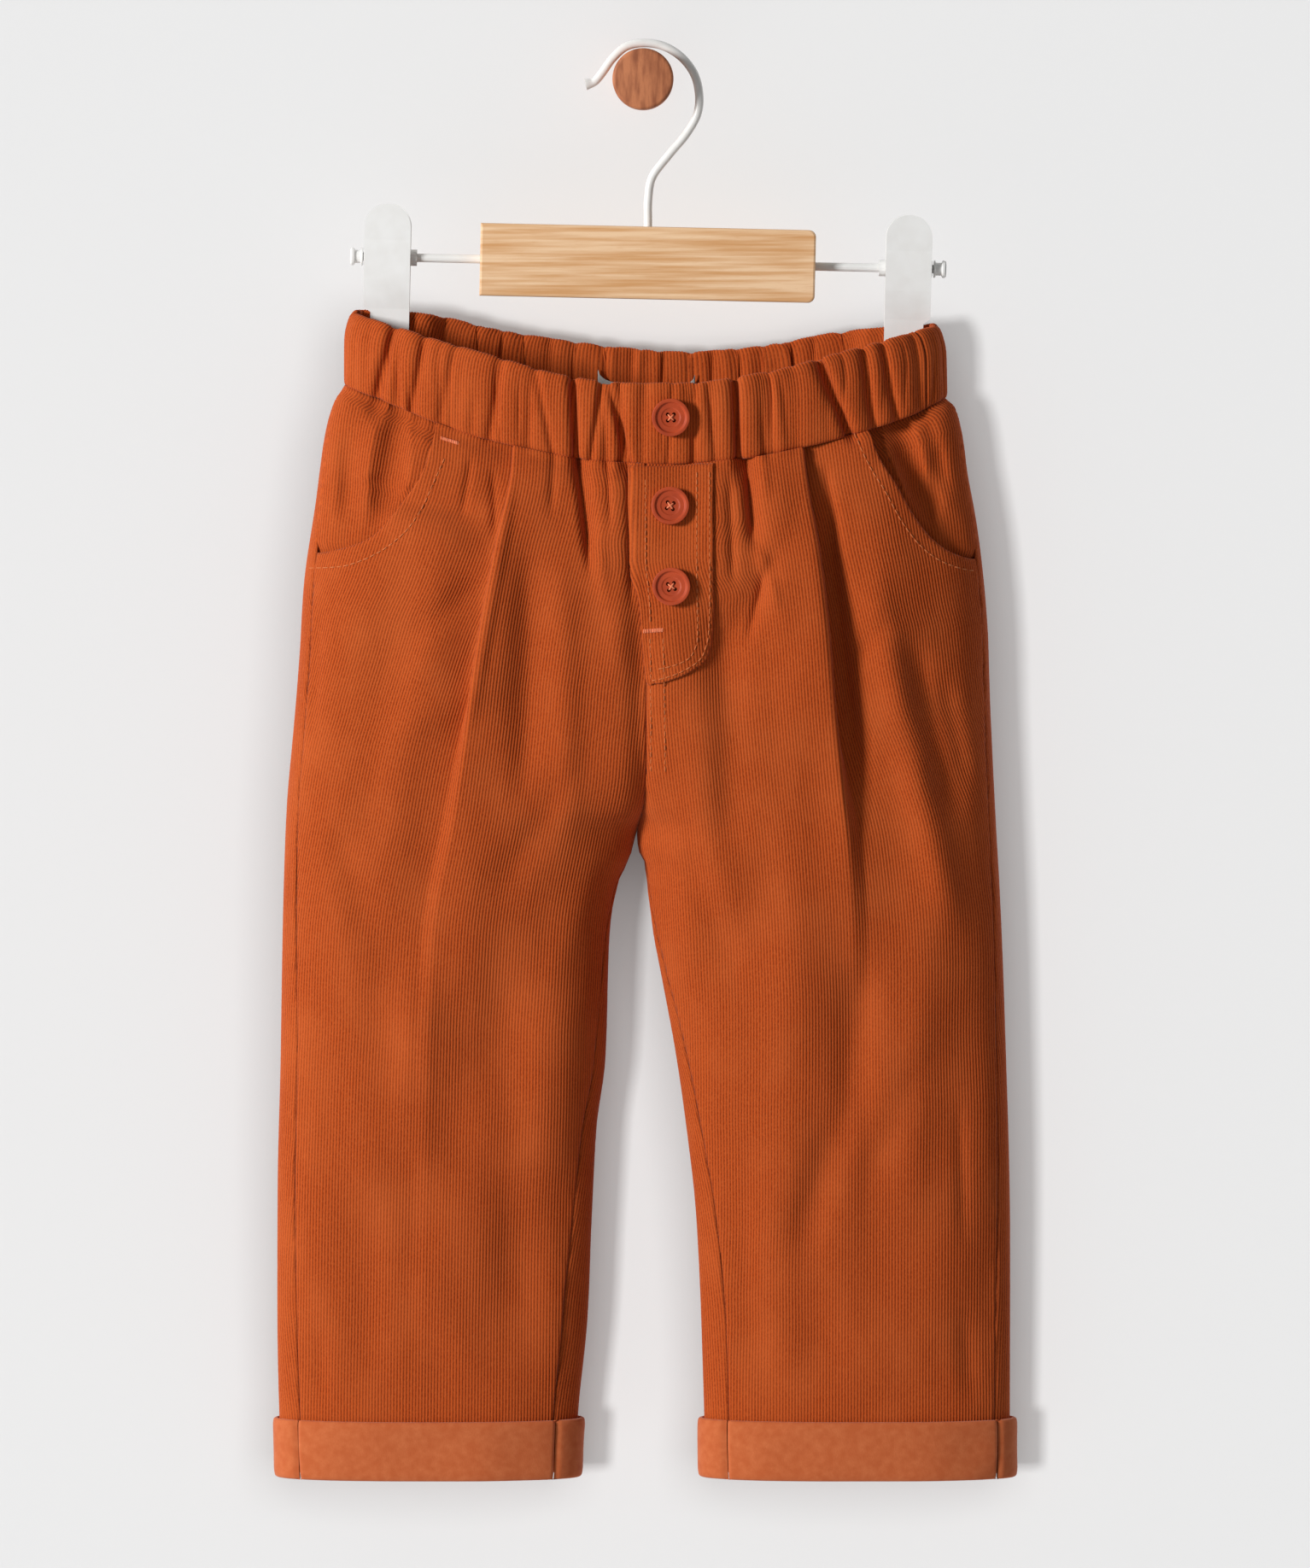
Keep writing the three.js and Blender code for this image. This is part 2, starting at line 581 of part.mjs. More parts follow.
function relief(folds, gathers, seamZ, x, z) {
  const rise = folds.reduce((sum, fold) => sum + foldRise(fold, x, z), 0);
  const down = 1 + (seamZ(x) - z) / BAND_HEIGHT;
  const hem = ease((z - CUFF_TOP_Z + 3) / HEM_FADE);
  return rise * hem - gatherDepth(gathers, x, Math.max(1, down));
}

// The front of the cloth as y at a distance outwards, with no pleat in it.
function frontSkin(leg, s, level, folds) {
  return (out) => {
    const x = leg.sign * out;
    const edge = ease((s.outer - out) / EDGE_FADE) * (s.joined ? 1 : ease((out - s.inner) / EDGE_FADE));
    const raised = relief(folds, FRONT_GATHERS, frontSeamZ, x, frontZ(level, x)) * edge;
    return s.plane - sectionDepth(s, out, s.front, s.pinchFront) - raised;
  };
}

// A point of the closed section ring. turn is 0 at the middle of the back, a quarter turn at
// the outer edge, and past that on the front; it is negative towards the inner edge.
function ringPoint(leg, s, level, turn) {
  const sine = Math.sin(turn);
  const reach = sine > 0 ? s.outer - s.crestOut : s.crestOut - s.inner;
  const out = s.crestOut + Math.sign(sine) * Math.abs(sine) ** (2 / s.power) * reach;
  const x = leg.sign * out;
  if (Math.abs(turn) > Math.PI / 2 + 1e-9) {
    const depth = sectionDepth(s, out, s.front, s.pinchFront);
    return new THREE.Vector3(x, s.plane - depth, frontZ(level, x));
  }
  const z = backZ(level, x);
  const inside = s.joined ? 1 : ease((out - s.inner) / EDGE_FADE);
  const raised = relief(BACK_FOLDS, BACK_GATHERS, backSeamZ, x, z) * ease((s.outer - out) / EDGE_FADE) * inside;
  return new THREE.Vector3(x, s.plane + sectionDepth(s, out, s.back, s.pinchBack) + raised, z);
}

// Where a seam that lies an inset inside the outline is on the ring.
function seamTurn(s, inset, reach, sign) {
  const share = (1 - inset / reach) ** (s.power / 2);
  return sign * (Math.PI - Math.asin(clamp01(share)));
}

// The turns of the side seam and the inseam, each with half the seam's gap taken off. away is
// 1 for what lies in front of the seam and -1 for what lies behind it.
function seamTurns(leg, s, level, away, gap = SEAM_GAP) {
  const side = seamTurn(s, s.sideInset, s.outer - s.crestOut, 1);
  const inner = s.joined ? -Math.PI / 2 : seamTurn(s, s.innerInset, s.crestOut - s.inner, -1);
  const speed = (turn) => {
    const step = 0.002;
    const ahead = ringPoint(leg, s, level, turn + step);
    return ahead.distanceTo(ringPoint(leg, s, level, turn + 2 * step)) / step;
  };
  const half = (away * gap * SEAM_EASE) / 2;
  return {
    side: side + half / speed(side),
    inner: s.joined ? inner : inner - half / speed(inner - 0.01),
  };
}

const outOf = (leg, point) => leg.sign * point.x;

// What a row of a front needs at a level: its two ends, its pleat and its skin.
function frontRowPlan(leg, level, folds = FRONT_FOLDS) {
  const s = section(leg, level);
  const skin = frontSkin(leg, s, level, folds);
  const turns = seamTurns(leg, s, level, 1);
  const side = outOf(leg, ringPoint(leg, s, level, turns.side));
  const inner = s.joined ? s.inner : outOf(leg, ringPoint(leg, s, level, turns.inner));
  let nose = leg.pleat.nose(level);
  for (let i = 0; i < 24; i += 1) nose = leg.pleat.nose(frontZ(level, leg.sign * nose));
  const z = frontZ(level, leg.sign * nose);
  const turn = radians(leg.pleat.turn(z));
  const radius = Math.max(PLEAT_NOSE, PLEAT_ARC / turn);
  const take = leg.pleat.take(z);
  const start = nose - radius * Math.sin(Math.min(turn, Math.PI / 2));
  const drop = 2 * radius * (1 - Math.cos(turn)) + take * Math.sin(turn);
  const shift = 2 * radius * Math.sin(turn) + take * Math.cos(turn);
  const lift = PLEAT_LIFT * drop;
  const lifted = (out) => lift * ease(1 - (start - out) / PLEAT_LIFT_REACH);
  const hollow = leg.pleat.hollow(z);
  const foot = start + shift;
  const under = (out) => {
    const decay = 1 - ease((out - Math.max(foot, start)) / hollow);
    return skin(out) + (drop - lifted(Math.min(foot, start))) * decay;
  };
  const top = (out) => skin(out) - lifted(Math.min(out, start));
  return { leg, level, inner, side, start, foot, turn, radius, take, top, under };
}

const pointOnRow = (plan, out, y) => {
  const x = plan.leg.sign * out;
  return new THREE.Vector3(x, y, frontZ(plan.level, x));
};

// The level of the row that passes a given height.
function levelAt(x, z) {
  let level = z;
  for (let i = 0; i < 40; i += 1) level += (z - frontZ(level, x)) * 0.6;
  return level;
}

// A front's rows start from its pocket mouth instead of the waist seam where there is one, and
// grow level again further down.
function belowPocket(leg, level, out) {
  const top = WAIST_SIDE_Z - WAIST_GAP;
  const drop = Math.min(0, levelAt(leg.sign * out, leg.pocketZ(out)) - top);
  return level + drop * (1 - ease((top - level) / SAG_REACH));
}

// A point of the layer beyond the pleat, at a share of the way to the side seam.
function underPoint(plan, share) {
  let level = plan.level;
  let at = plan;
  for (let i = 0; i < 16; i += 1) {
    level = belowPocket(plan.leg, plan.level, mix(plan.foot, at.side, share));
    at = frontRowPlan(plan.leg, level);
  }
  const out = mix(plan.foot, at.side, share);
  return pointOnRow(at, out, at.under(out));
}

// One row of a front: the top layer, the pleat's folded edge and inner fold, the under layer.
function frontRow(leg, level) {
  const plan = frontRowPlan(leg, level);
  const { inner, start, turn, radius, take } = plan;
  const points = [];
  for (let i = 0; i <= TOP_COLUMNS; i += 1) {
    const share = i / TOP_COLUMNS;
    const out = mix(inner, start, mix(share, 1 - Math.cos((share * Math.PI) / 2), 0.78));
    points.push(pointOnRow(plan, out, plan.top(out)));
  }
  const folded = (out, dip) => points.push(pointOnRow(plan, out, plan.top(out) + dip));
  for (let i = 1; i <= NOSE_COLUMNS; i += 1) {
    const angle = (turn * i) / NOSE_COLUMNS;
    folded(start + radius * Math.sin(angle), radius * (1 - Math.cos(angle)));
  }
  const bendOut = start + radius * Math.sin(turn) + take * Math.cos(turn);
  const bendDip = radius * (1 - Math.cos(turn)) + take * Math.sin(turn);
  for (let i = 0; i < NOSE_COLUMNS; i += 1) {
    const angle = turn * (1 - i / NOSE_COLUMNS);
    const out = bendOut + radius * (Math.sin(turn) - Math.sin(angle));
    folded(out, bendDip + radius * (Math.cos(angle) - Math.cos(turn)));
  }
  UNDER_SHARES.forEach((share) => points.push(underPoint(plan, share)));
  return points;
}

function backRow(leg, level) {
  const s = section(leg, level, "Back");
  const turns = seamTurns(leg, s, level, -1);
  return Array.from({ length: BACK_COLUMNS + 1 }, (_, i) =>
    ringPoint(leg, s, level, mix(turns.inner, turns.side, i / BACK_COLUMNS)),
  );
}

// The levels of a panel's rows, from the table of stretches, as far down as asked.
function levels(lowest = -Infinity) {
  const list = [WAIST_SIDE_Z - WAIST_GAP];
  for (const { to, steps } of LEVEL_STRETCHES) {
    const from = list.at(-1);
    for (let i = 1; i <= steps; i += 1) list.push(mix(from, to, i / steps));
  }
  return list.filter((level) => level >= lowest);
}

// Normals of a grid of points, from the grid's own directions.
function gridNormals(rows) {
  return rows.map((row, r) =>
    row.map((_, c) => {
      const across = rows[r][Math.min(c + 1, row.length - 1)].clone().sub(rows[r][Math.max(c - 1, 0)]);
      const down = rows[Math.min(r + 1, rows.length - 1)][c].clone().sub(rows[Math.max(r - 1, 0)][c]);
      return down.cross(across).normalize();
    }),
  );
}

// A grid moved along its normals, by a distance or by a function of row, column and point.
function moved(rows, distance) {
  const normals = gridNormals(rows);
  return rows.map((row, r) =>
    row.map((point, c) => {
      const by = typeof distance === "number" ? distance : distance(r, c, point);
      return point.clone().addScaledVector(normals[r][c], by);
    }),
  );
}

// A closed body from points and faces, turned the right way out.
function closedBody(points, faces) {
  const position = new Float32Array(points.flatMap((p) => [p.x, p.y, p.z]));
  const volume = faces.reduce((sum, [a, b, c]) => {
    return sum + points[a].dot(points[b].clone().cross(points[c]));
  }, 0);
  const index = volume < 0 ? faces.flatMap(([a, b, c]) => [a, c, b]) : faces.flat();
  const geometry = new THREE.BufferGeometry();
  geometry.setAttribute("position", new THREE.BufferAttribute(position, 3));
  geometry.setIndex(index);
  geometry.computeVertexNormals();
  return geometry;
}

// A cloth wall of one thickness on a grid of points, closed along its four edges.
function clothWall(rows, thickness) {
  const skins = [moved(rows, thickness / 2), moved(rows, -thickness / 2)];
  const height = rows.length;
  const width = rows[0].length;
  const at = (layer, r, c) => (layer * height + r) * width + c;
  const faces = [];
  const quad = (a, b, c, d) => faces.push([a, b, c], [a, c, d]);
  for (let r = 0; r + 1 < height; r += 1) {
    for (let c = 0; c + 1 < width; c += 1) {
      quad(at(0, r, c), at(0, r, c + 1), at(0, r + 1, c + 1), at(0, r + 1, c));
      quad(at(1, r, c), at(1, r + 1, c), at(1, r + 1, c + 1), at(1, r, c + 1));
    }
    quad(at(0, r, 0), at(0, r + 1, 0), at(1, r + 1, 0), at(1, r, 0));
    quad(at(0, r + 1, width - 1), at(0, r, width - 1), at(1, r, width - 1), at(1, r + 1, width - 1));
  }
  for (let c = 0; c + 1 < width; c += 1) {
    quad(at(0, 0, c + 1), at(0, 0, c), at(1, 0, c), at(1, 0, c + 1));
    quad(at(0, height - 1, c), at(0, height - 1, c + 1), at(1, height - 1, c + 1), at(1, height - 1, c));
  }
  return closedBody(skins.flat(2), faces);
}

// A point of the waistband's loop. turn is 0 at the middle front and grows to the left side.
function bandPoint(turn, down) {
  const half = bandHalf(down);
  const x = BAND_MIDDLE_X + half * Math.sin(turn);
  const front = Math.cos(turn) >= 0;
  const depth = Math.abs(Math.cos(turn));
  const s = sectionAt;
  const flat = clamp01(2.5 * depth);
  if (front) {
    const gathered = gatherDepth(FRONT_GATHERS, x, down) * flat;
    const y = s.plane(WAIST_SIDE_Z) - s.front(WAIST_SIDE_Z) * depth + gathered;
    return new THREE.Vector3(x, y, mix(frontTopZ(x), frontSeamZ(x), down));
  }
  const gathered = gatherDepth(BACK_GATHERS, x, down) * flat;
  const free = s.plane(WAIST_SIDE_Z) + s.back(WAIST_SIDE_Z) * depth + gathered;
  const held = Object.values(LEGS).reduce((most, leg) => {
    const outwards = leg.sign * (x - HANGER.x) - CLIP[leg.side];
    const past = Math.abs(outwards) - CLIP.width / 2 - (outwards > 0 ? 1 : 5.5);
    return Math.max(most, 1 - ease(past / (outwards > 0 ? 3 : 8)));
  }, 0);
  const gripped = held * ease(depth / CLIP_RELEASE) * (1 - ease((down - 0.6) / 0.4));
  return new THREE.Vector3(x, mix(free, HANGER.y, gripped), mix(backTopZ(x), backSeamZ(x), down));
}

// How far along the band's loop each turn is at one height, where a bend counts as extra length.
function bandMeasure(turns, down, bendLength) {
  const points = turns.map((turn) => bandPoint(turn, down));
  const steps = points.slice(1).map((point, i) => point.clone().sub(points[i]));
  const measure = [{ at: 0, turn: turns[0] }];
  steps.forEach((step, i) => {
    const bend = i > 0 ? step.angleTo(steps[i - 1]) : 0;
    measure.push({ at: measure[i].at + step.length() + bendLength * bend, turn: turns[i + 1] });
  });
  return { whole: measure.at(-1).at, turnAt: curve(measure, "at", "turn") };
}

// A stretch of the waistband between two turns. Its columns lie evenly along the cloth, and
// closer together where it bends.
function bandWall(fromTurn, toTurn) {
  const fine = 900;
  const turns = Array.from({ length: fine + 1 }, (_, i) => mix(fromTurn, toTurn, i / fine));
  const { whole, turnAt } = bandMeasure(turns, 0.3, BAND_BEND);
  const inner = Array.from({ length: BAND_STEPS - 1 }, (_, i) => (whole * (i + 1)) / BAND_STEPS);
  const nearEnds = BAND_END_STEPS.flatMap((at) => [at, whole - at]);
  const columns = [...inner, ...nearEnds].sort((a, b) => a - b);
  const rows = BAND_ROWS.map((down) => {
    const along = bandMeasure(turns, down, 0);
    const first = along.turnAt(SEAM_GAP * 1.5);
    const last = along.turnAt(along.whole - SEAM_GAP * 1.5);
    return columns.map((at) => bandPoint(mix(first, last, (turnAt(at) - fromTurn) / (toTurn - fromTurn)), down));
  });
  return clothWall(rows, BAND);
}

// The side piece inside a pocket mouth, one cloth thickness behind the front.
function pocketFacing(leg) {
  const [top, , ...lower] = levels(leg.pocketEndZ - POCKET_UNDERLAP);
  const rows = [top - SEAM_GAP, ...lower].map((level) => {
    const plan = frontRowPlan(leg, level, [...FRONT_FOLDS, ...FACING_FOLDS]);
    let inner = leg.pocket(level);
    for (let i = 0; i < 24; i += 1) {
      const z = frontZ(level, leg.sign * inner) + POCKET_UNDERLAP;
      inner = mix(inner, Math.min(plan.side - FACING_WIDTH, leg.pocket(z) - POCKET_UNDERLAP), 0.5);
    }
    return Array.from({ length: FACING_COLUMNS + 1 }, (_, i) => {
      const out = mix(inner, plan.side - SEAM_GAP, i / FACING_COLUMNS);
      return pointOnRow(plan, out, plan.under(out));
    });
  });
  const behind = CLOTH + FACING_GAP;
  const seated = moved(rows, (r, c, point) => {
    const nearSide = ease((c / FACING_COLUMNS - 0.6) / 0.4);
    const aboveMouth = ease((point.z - leg.pocketEndZ - 8) / 14);
    const gape = 1 + FACING_GAPE * (1 - c / FACING_COLUMNS) ** 2;
    return -leg.sign * behind * gape * (1 - nearSide * aboveMouth);
  });
  return clothWall(seated, CLOTH);
}

const legAtX = (x) => (x < centreX(WAIST_SIDE_Z) ? LEGS.right : LEGS.left);

// The front's surface under the fly, at a level and a place across.
function frontAt(x, level) {
  const leg = legAtX(x);
  const plan = frontRowPlan(leg, level);
  const out = Math.max(leg.sign * x, plan.inner);
  return new THREE.Vector3(x, plan.top(out), frontZ(level, x));
}

function flyWall() {
  const middle = (FLY[0].free + FLY[0].stitched) / 2;
  const curved = FLY.filter(({ z }) => z < FLY_STRAIGHT_Z).map(({ z }) => levelAt(middle, z));
  const straight = levels(curved[0] + 4).slice(1);
  const rows = [WAIST_SIDE_Z - FLY_TOP_GAP, ...straight, ...curved].map((level) => {
    const [from, to] = ["free", "stitched"].map((edge) => {
      let x = middle;
      for (let i = 0; i < 24; i += 1) x = mix(x, flyEdge[edge](frontZ(level, x)), 0.5);
      return x;
    });
    return Array.from({ length: FLY_COLUMNS + 1 }, (_, i) => {
      return frontAt(mix(from, to, i / FLY_COLUMNS), level);
    });
  });
  return clothWall(moved(rows, CLOTH / 2 + FLY_GAP + PLACKET / 2), PLACKET);
}

// The rings of a cuff, outside the leg's own surface, between two seams.
function cuffWall(leg, front) {
  const rows = CUFF_ROWS.map(({ down, out }) => {
    const level = mix(CUFF_TOP_Z, CUFF_BOTTOM_Z, down);
    const s = section(leg, level);
    const turns = seamTurns(leg, s, level, front ? 1 : -1, SEAM_GAP * 1.5);
    const from = front ? turns.side : turns.inner;
    const to = front ? turns.inner + 2 * Math.PI : turns.side;
    return Array.from({ length: BACK_COLUMNS + 1 }, (_, i) => {
      const turn = mix(from, to, i / BACK_COLUMNS);
      const wrapped = turn > Math.PI ? turn - 2 * Math.PI : turn;
      const at = ringPoint(leg, s, level, wrapped);
      const step = wrapped > 0 ? -0.01 : 0.01;
      const along = ringPoint(leg, s, level, wrapped + step).sub(at).multiplyScalar(Math.sign(step));
      const normal = new THREE.Vector3(-along.y, along.x, 0).normalize();
      return at.addScaledVector(normal, leg.sign * out);
    });
  });
  return clothWall(rows, CUFF);
}

// Booleans: a three.js geometry as a solid, and back.
function solidOf(geometry) {
  const bare = geometry.index ? geometry.toNonIndexed() : geometry.clone();
  bare.deleteAttribute("normal");
  bare.deleteAttribute("uv");
  const merged = mergeVertices(bare, 1e-4);
  const vertProperties = merged.attributes.position.array;
  return new wasm.Manifold(
    new wasm.Mesh({ numProp: 3, vertProperties, triVerts: new Uint32Array(merged.index.array) }),
  );
}

function geometryOf(solid) {
  const { vertProperties, triVerts } = solid.getMesh();
  const geometry = new THREE.BufferGeometry();
  geometry.setAttribute("position", new THREE.BufferAttribute(new Float32Array(vertProperties), 3));
  geometry.setIndex(new THREE.BufferAttribute(triVerts, 1));
  geometry.computeVertexNormals();
  return geometry;
}

// A round bar along X, for bores and the rod.
const roundAlongX = (radius, length, sides) =>
  new THREE.CylinderGeometry(radius, radius, length, sides).rotateZ(Math.PI / 2);

// A button: a rim, a dished middle and four thread holes, its back face at z = 0.
function buttonGeometry() {
  const { radius, rim, dish, height, dishHeight, hole, pitch } = BUTTON;
  const profile = [
    [0, 0],
    [radius - 0.8, 0],
    [radius, 0.9],
    [radius, height - 0.8],
    [radius - 0.6, height],
    [rim, height],
    [dish, dishHeight],
    [0, dishHeight],
  ].map(([r, z]) => new THREE.Vector2(r, z));
  let solid = solidOf(new THREE.LatheGeometry(profile, 22).rotateX(Math.PI / 2));
  for (const [sx, sy] of [[-1, -1], [-1, 1], [1, -1], [1, 1]]) {
    const drill = new THREE.CylinderGeometry(hole, hole, 3 * height, 6).rotateX(Math.PI / 2);
    solid = solid.subtract(solidOf(drill.translate(sx * pitch, sy * pitch, 0)));
  }
  return geometryOf(solid);
}

// The cloth's outer face under a button, as a point and the direction it faces.
function buttonSeat(x, z) {
  const onBand = z > frontSeamZ(x);
  const surface = (px, pz) => {
    if (!onBand) return frontAt(px, levelAt(px, pz));
    const turn = Math.asin((px - BAND_MIDDLE_X) / bandHalf(0.5));
    const down = (pz - frontTopZ(px)) / (frontSeamZ(px) - frontTopZ(px));
    return bandPoint(turn, down);
  };
  const reach = BUTTON.radius - 1;
  const across = surface(x + reach, z).sub(surface(x - reach, z));
  const up = surface(x, z + reach).sub(surface(x, z - reach));
  const facing = across.cross(up).normalize();
  const under = onBand ? BAND / 2 : CLOTH / 2 + FLY_GAP + PLACKET;
  return { at: surface(x, z).addScaledVector(facing, under + BUTTON_GAP), facing };
}

// One half of a clip, facing front (-1) or back (1), its jaw a little narrower towards the
// outer side of the leg, where the band folds over.
function clipPlate(facing, sign) {
  const { width, plate, top, jaw } = CLIP;
  const grip = (BAND + plate) / 2 + SEAM_GAP;
  const hub = HUB.radius + SEAM_GAP + plate / 2;
  const spine = [
    { z: jaw, y: grip },
    { z: -20.5, y: grip },
    { z: -9, y: mix(grip, hub, 0.7) },
    { z: 0, y: hub },
    { z: 7, y: hub + 0.5 },
    { z: top, y: hub + 3.4 },
  ];
  const profile = new THREE.Shape();
  profile.moveTo(spine[0].y - plate / 2, spine[0].z);
  spine.slice(1).forEach((p) => profile.lineTo(p.y - plate / 2, p.z));
  [...spine].reverse().forEach((p) => profile.lineTo(p.y + plate / 2, p.z));
  const strip = new THREE.ExtrudeGeometry(profile, { depth: width, bevelEnabled: false });
  strip.applyMatrix4(
    new THREE.Matrix4().makeBasis(
      new THREE.Vector3(0, facing, 0),
      new THREE.Vector3(0, 0, 1),
      new THREE.Vector3(facing, 0, 0),
    ),
  );
  strip.translate((-facing * width) / 2, 0, 0);
  const outline = new THREE.Shape();
  outline.moveTo(-width / 2, jaw - 1);
  outline.lineTo(width / 2 - JAW.outer, jaw - 1);
  outline.lineTo(width / 2 - JAW.outer, JAW.to);
  outline.lineTo(width / 2, JAW.from);
  outline.lineTo(width / 2, top - width / 2);
  outline.absarc(0, top - width / 2, width / 2, 0, Math.PI, false);
  const face = new THREE.ExtrudeGeometry(outline, { depth: 60, bevelEnabled: false, curveSegments: 12 });
  face.rotateX(Math.PI / 2).translate(0, 30, 0);
  if (sign < 0) face.rotateZ(Math.PI);
  return geometryOf(solidOf(strip).intersect(solidOf(face)));
}

function hangerBar() {
  const { width, height, depth, corner, bevel } = BAR;
  const w = width / 2 - bevel;
  const h = height / 2 - bevel;
  const shape = new THREE.Shape();
  shape.moveTo(-w, -h);
  shape.lineTo(w - corner, -h);
  shape.absarc(w - corner, -h + corner, corner, -Math.PI / 2, 0, false);
  shape.absarc(w - corner, h - corner, corner, 0, Math.PI / 2, false);
  shape.lineTo(-w, h);
  const options = { depth: depth - 2 * bevel, bevelThickness: bevel, bevelSize: bevel, bevelSegments: 2, curveSegments: 4 };
  const block = new THREE.ExtrudeGeometry(shape, options);
  block.translate(0, 0, bevel - depth / 2).rotateX(Math.PI / 2);
  const rodBore = roundAlongX(BORE_R, width + 10, 12);
  const hookBore = new THREE.CylinderGeometry(BORE_R, BORE_R, HOOK_SEAT + 1, 12);
  hookBore.rotateX(Math.PI / 2).translate(0, 0, height / 2 - HOOK_SEAT / 2 + 0.4);
  return geometryOf(solidOf(block).subtract(solidOf(rodBore)).subtract(solidOf(hookBore)));
}

// The coated wire hook, from its seat in the bar to its flared tip.
function hangerHook() {
  const seatZ = HANGER.z + BAR.height / 2 - HOOK_SEAT + 1.2;
  const seatX = (z) => HANGER.x + (z - HANGER.z) * Math.tan(radians(HANGER.tilt));
  const route = [seatZ, HANGER.z + BAR.height / 2 + 1].map((z) => ({ x: seatX(z), z }));
  route.push(...HOOK_ROUTE);
  const path = new THREE.CatmullRomCurve3(route.map((p) => new THREE.Vector3(p.x, HANGER.y, p.z)));
  const round = new THREE.Shape().absarc(0, 0, WIRE_R, 0, 2 * Math.PI, false);
  const wire = new THREE.ExtrudeGeometry(round, { steps: 42, curveSegments: 5, extrudePath: path });
  const tip = new THREE.LatheGeometry(
    [
      [0, 0],
      [WIRE_R, 0],
      [HOOK_TIP.radius, HOOK_TIP.length - 0.5],
      [HOOK_TIP.radius - 0.4, HOOK_TIP.length],
      [0, HOOK_TIP.length],
    ].map(([r, y]) => new THREE.Vector2(r, y)),
    10,
  );
  const last = HOOK_ROUTE.at(-1);
  tip.rotateZ(radians(104)).translate(last.x + 1.6, 0, last.z + 0.2).translate(0, HANGER.y, 0);
  return geometryOf(solidOf(wire).add(solidOf(tip)));
}

// The round sleeve of a clip on the rod, standing out further towards the bar.
function clipHub(sign) {
  const length = CLIP.width + HUB.inner + HUB.outer;
  const hub = roundAlongX(HUB.radius, length, 16);
  const bore = roundAlongX(BORE_R, length + 10, 12);
  const sleeve = solidOf(hub).subtract(solidOf(bore));
  return geometryOf(sleeve).translate((sign * (HUB.outer - HUB.inner)) / 2, 0, 0);
}

// The cap pushed onto the rod's end, its mouth towards the bar.
function rodCap() {
  const { radius, length, wall } = CAP;
  const profile = [
    [0, length - wall],
    [BORE_R, length - wall],
    [BORE_R, 0],
    [radius, 0],
    [radius, 0.6],
    [WIRE_R + 0.9, 0.9],
    [WIRE_R + 0.9, length - wall - 0.6],
    [radius, length - wall],
    [radius, length - 0.6],
    [radius - 0.5, length],
    [0, length],
  ].map(([r, y]) => new THREE.Vector2(r, y));
  return new THREE.LatheGeometry(profile, 16);
}

function wallPeg() {
  const { radius, length, chamfer } = PEG;
  const profile = [
    [0, 0],
    [radius, 0],
    [radius, length - chamfer],
    [radius - chamfer, length],
    [0, length],
  ].map(([r, y]) => new THREE.Vector2(r, y));
  return new THREE.LatheGeometry(profile, 32).rotateX(Math.PI);
}

const trousers = new THREE.Group();

function piece(name, geometry, color, roughness, parent = trousers) {
  const material = new THREE.MeshStandardMaterial({ color, roughness, metalness: 0 });
  const mesh = new THREE.Mesh(geometry, material);
  mesh.name = name;
  parent.add(mesh);
  return mesh;
}

for (const [side, leg] of Object.entries(LEGS)) {
  piece(`front_${side}`, clothWall(levels().map((level) => frontRow(leg, level)), CLOTH), CORD_COLOUR, 0.9);
  piece(`back_${side}`, clothWall(levels().map((level) => backRow(leg, level)), CLOTH), CORD_COLOUR, 0.9);
  piece(`pocket_facing_${side}`, pocketFacing(leg), FACING_COLOUR, 0.9);
  piece(`cuff_${side}_front`, cuffWall(leg, true), CUFF_COLOUR, 0.95);
  piece(`cuff_${side}_back`, cuffWall(leg, false), CUFF_COLOUR, 0.95);
}

const leftSeam = Math.asin((BAND_SEAMS.left - BAND_MIDDLE_X) / bandHalf(0.5));
const rightSeam = -Math.PI / 2 - radians(BAND_SEAMS.rightTurn);
piece("waistband_front", bandWall(rightSeam, leftSeam), CORD_COLOUR, 0.9);
piece("waistband_back", bandWall(leftSeam, rightSeam + 2 * Math.PI), CORD_COLOUR, 0.9);
piece("fly", flyWall(), CORD_COLOUR, 0.9);

for (const { name, x, z } of BUTTONS) {
  const button = piece(name, buttonGeometry(), BUTTON_COLOUR, 0.4);
  const { at, facing } = buttonSeat(x, z);
  button.quaternion.setFromUnitVectors(new THREE.Vector3(0, 0, 1), facing);
  button.position.copy(at);
}

const { width: labelWidth, height: labelHeight } = LABEL_SIZE;
const label = piece("label", new THREE.BoxGeometry(labelWidth, LABEL, labelHeight), LABEL_COLOUR, 0.8);
const bandInside = sectionAt.plane(WAIST_SIDE_Z) + sectionAt.back(WAIST_SIDE_Z) - BAND / 2;
label.position.set(LABEL_SIZE.x, bandInside - 2 * SEAM_GAP - LABEL / 2 - 0.3, LABEL_SIZE.topZ - labelHeight / 2);
label.rotation.y = radians(LABEL_SIZE.tilt);

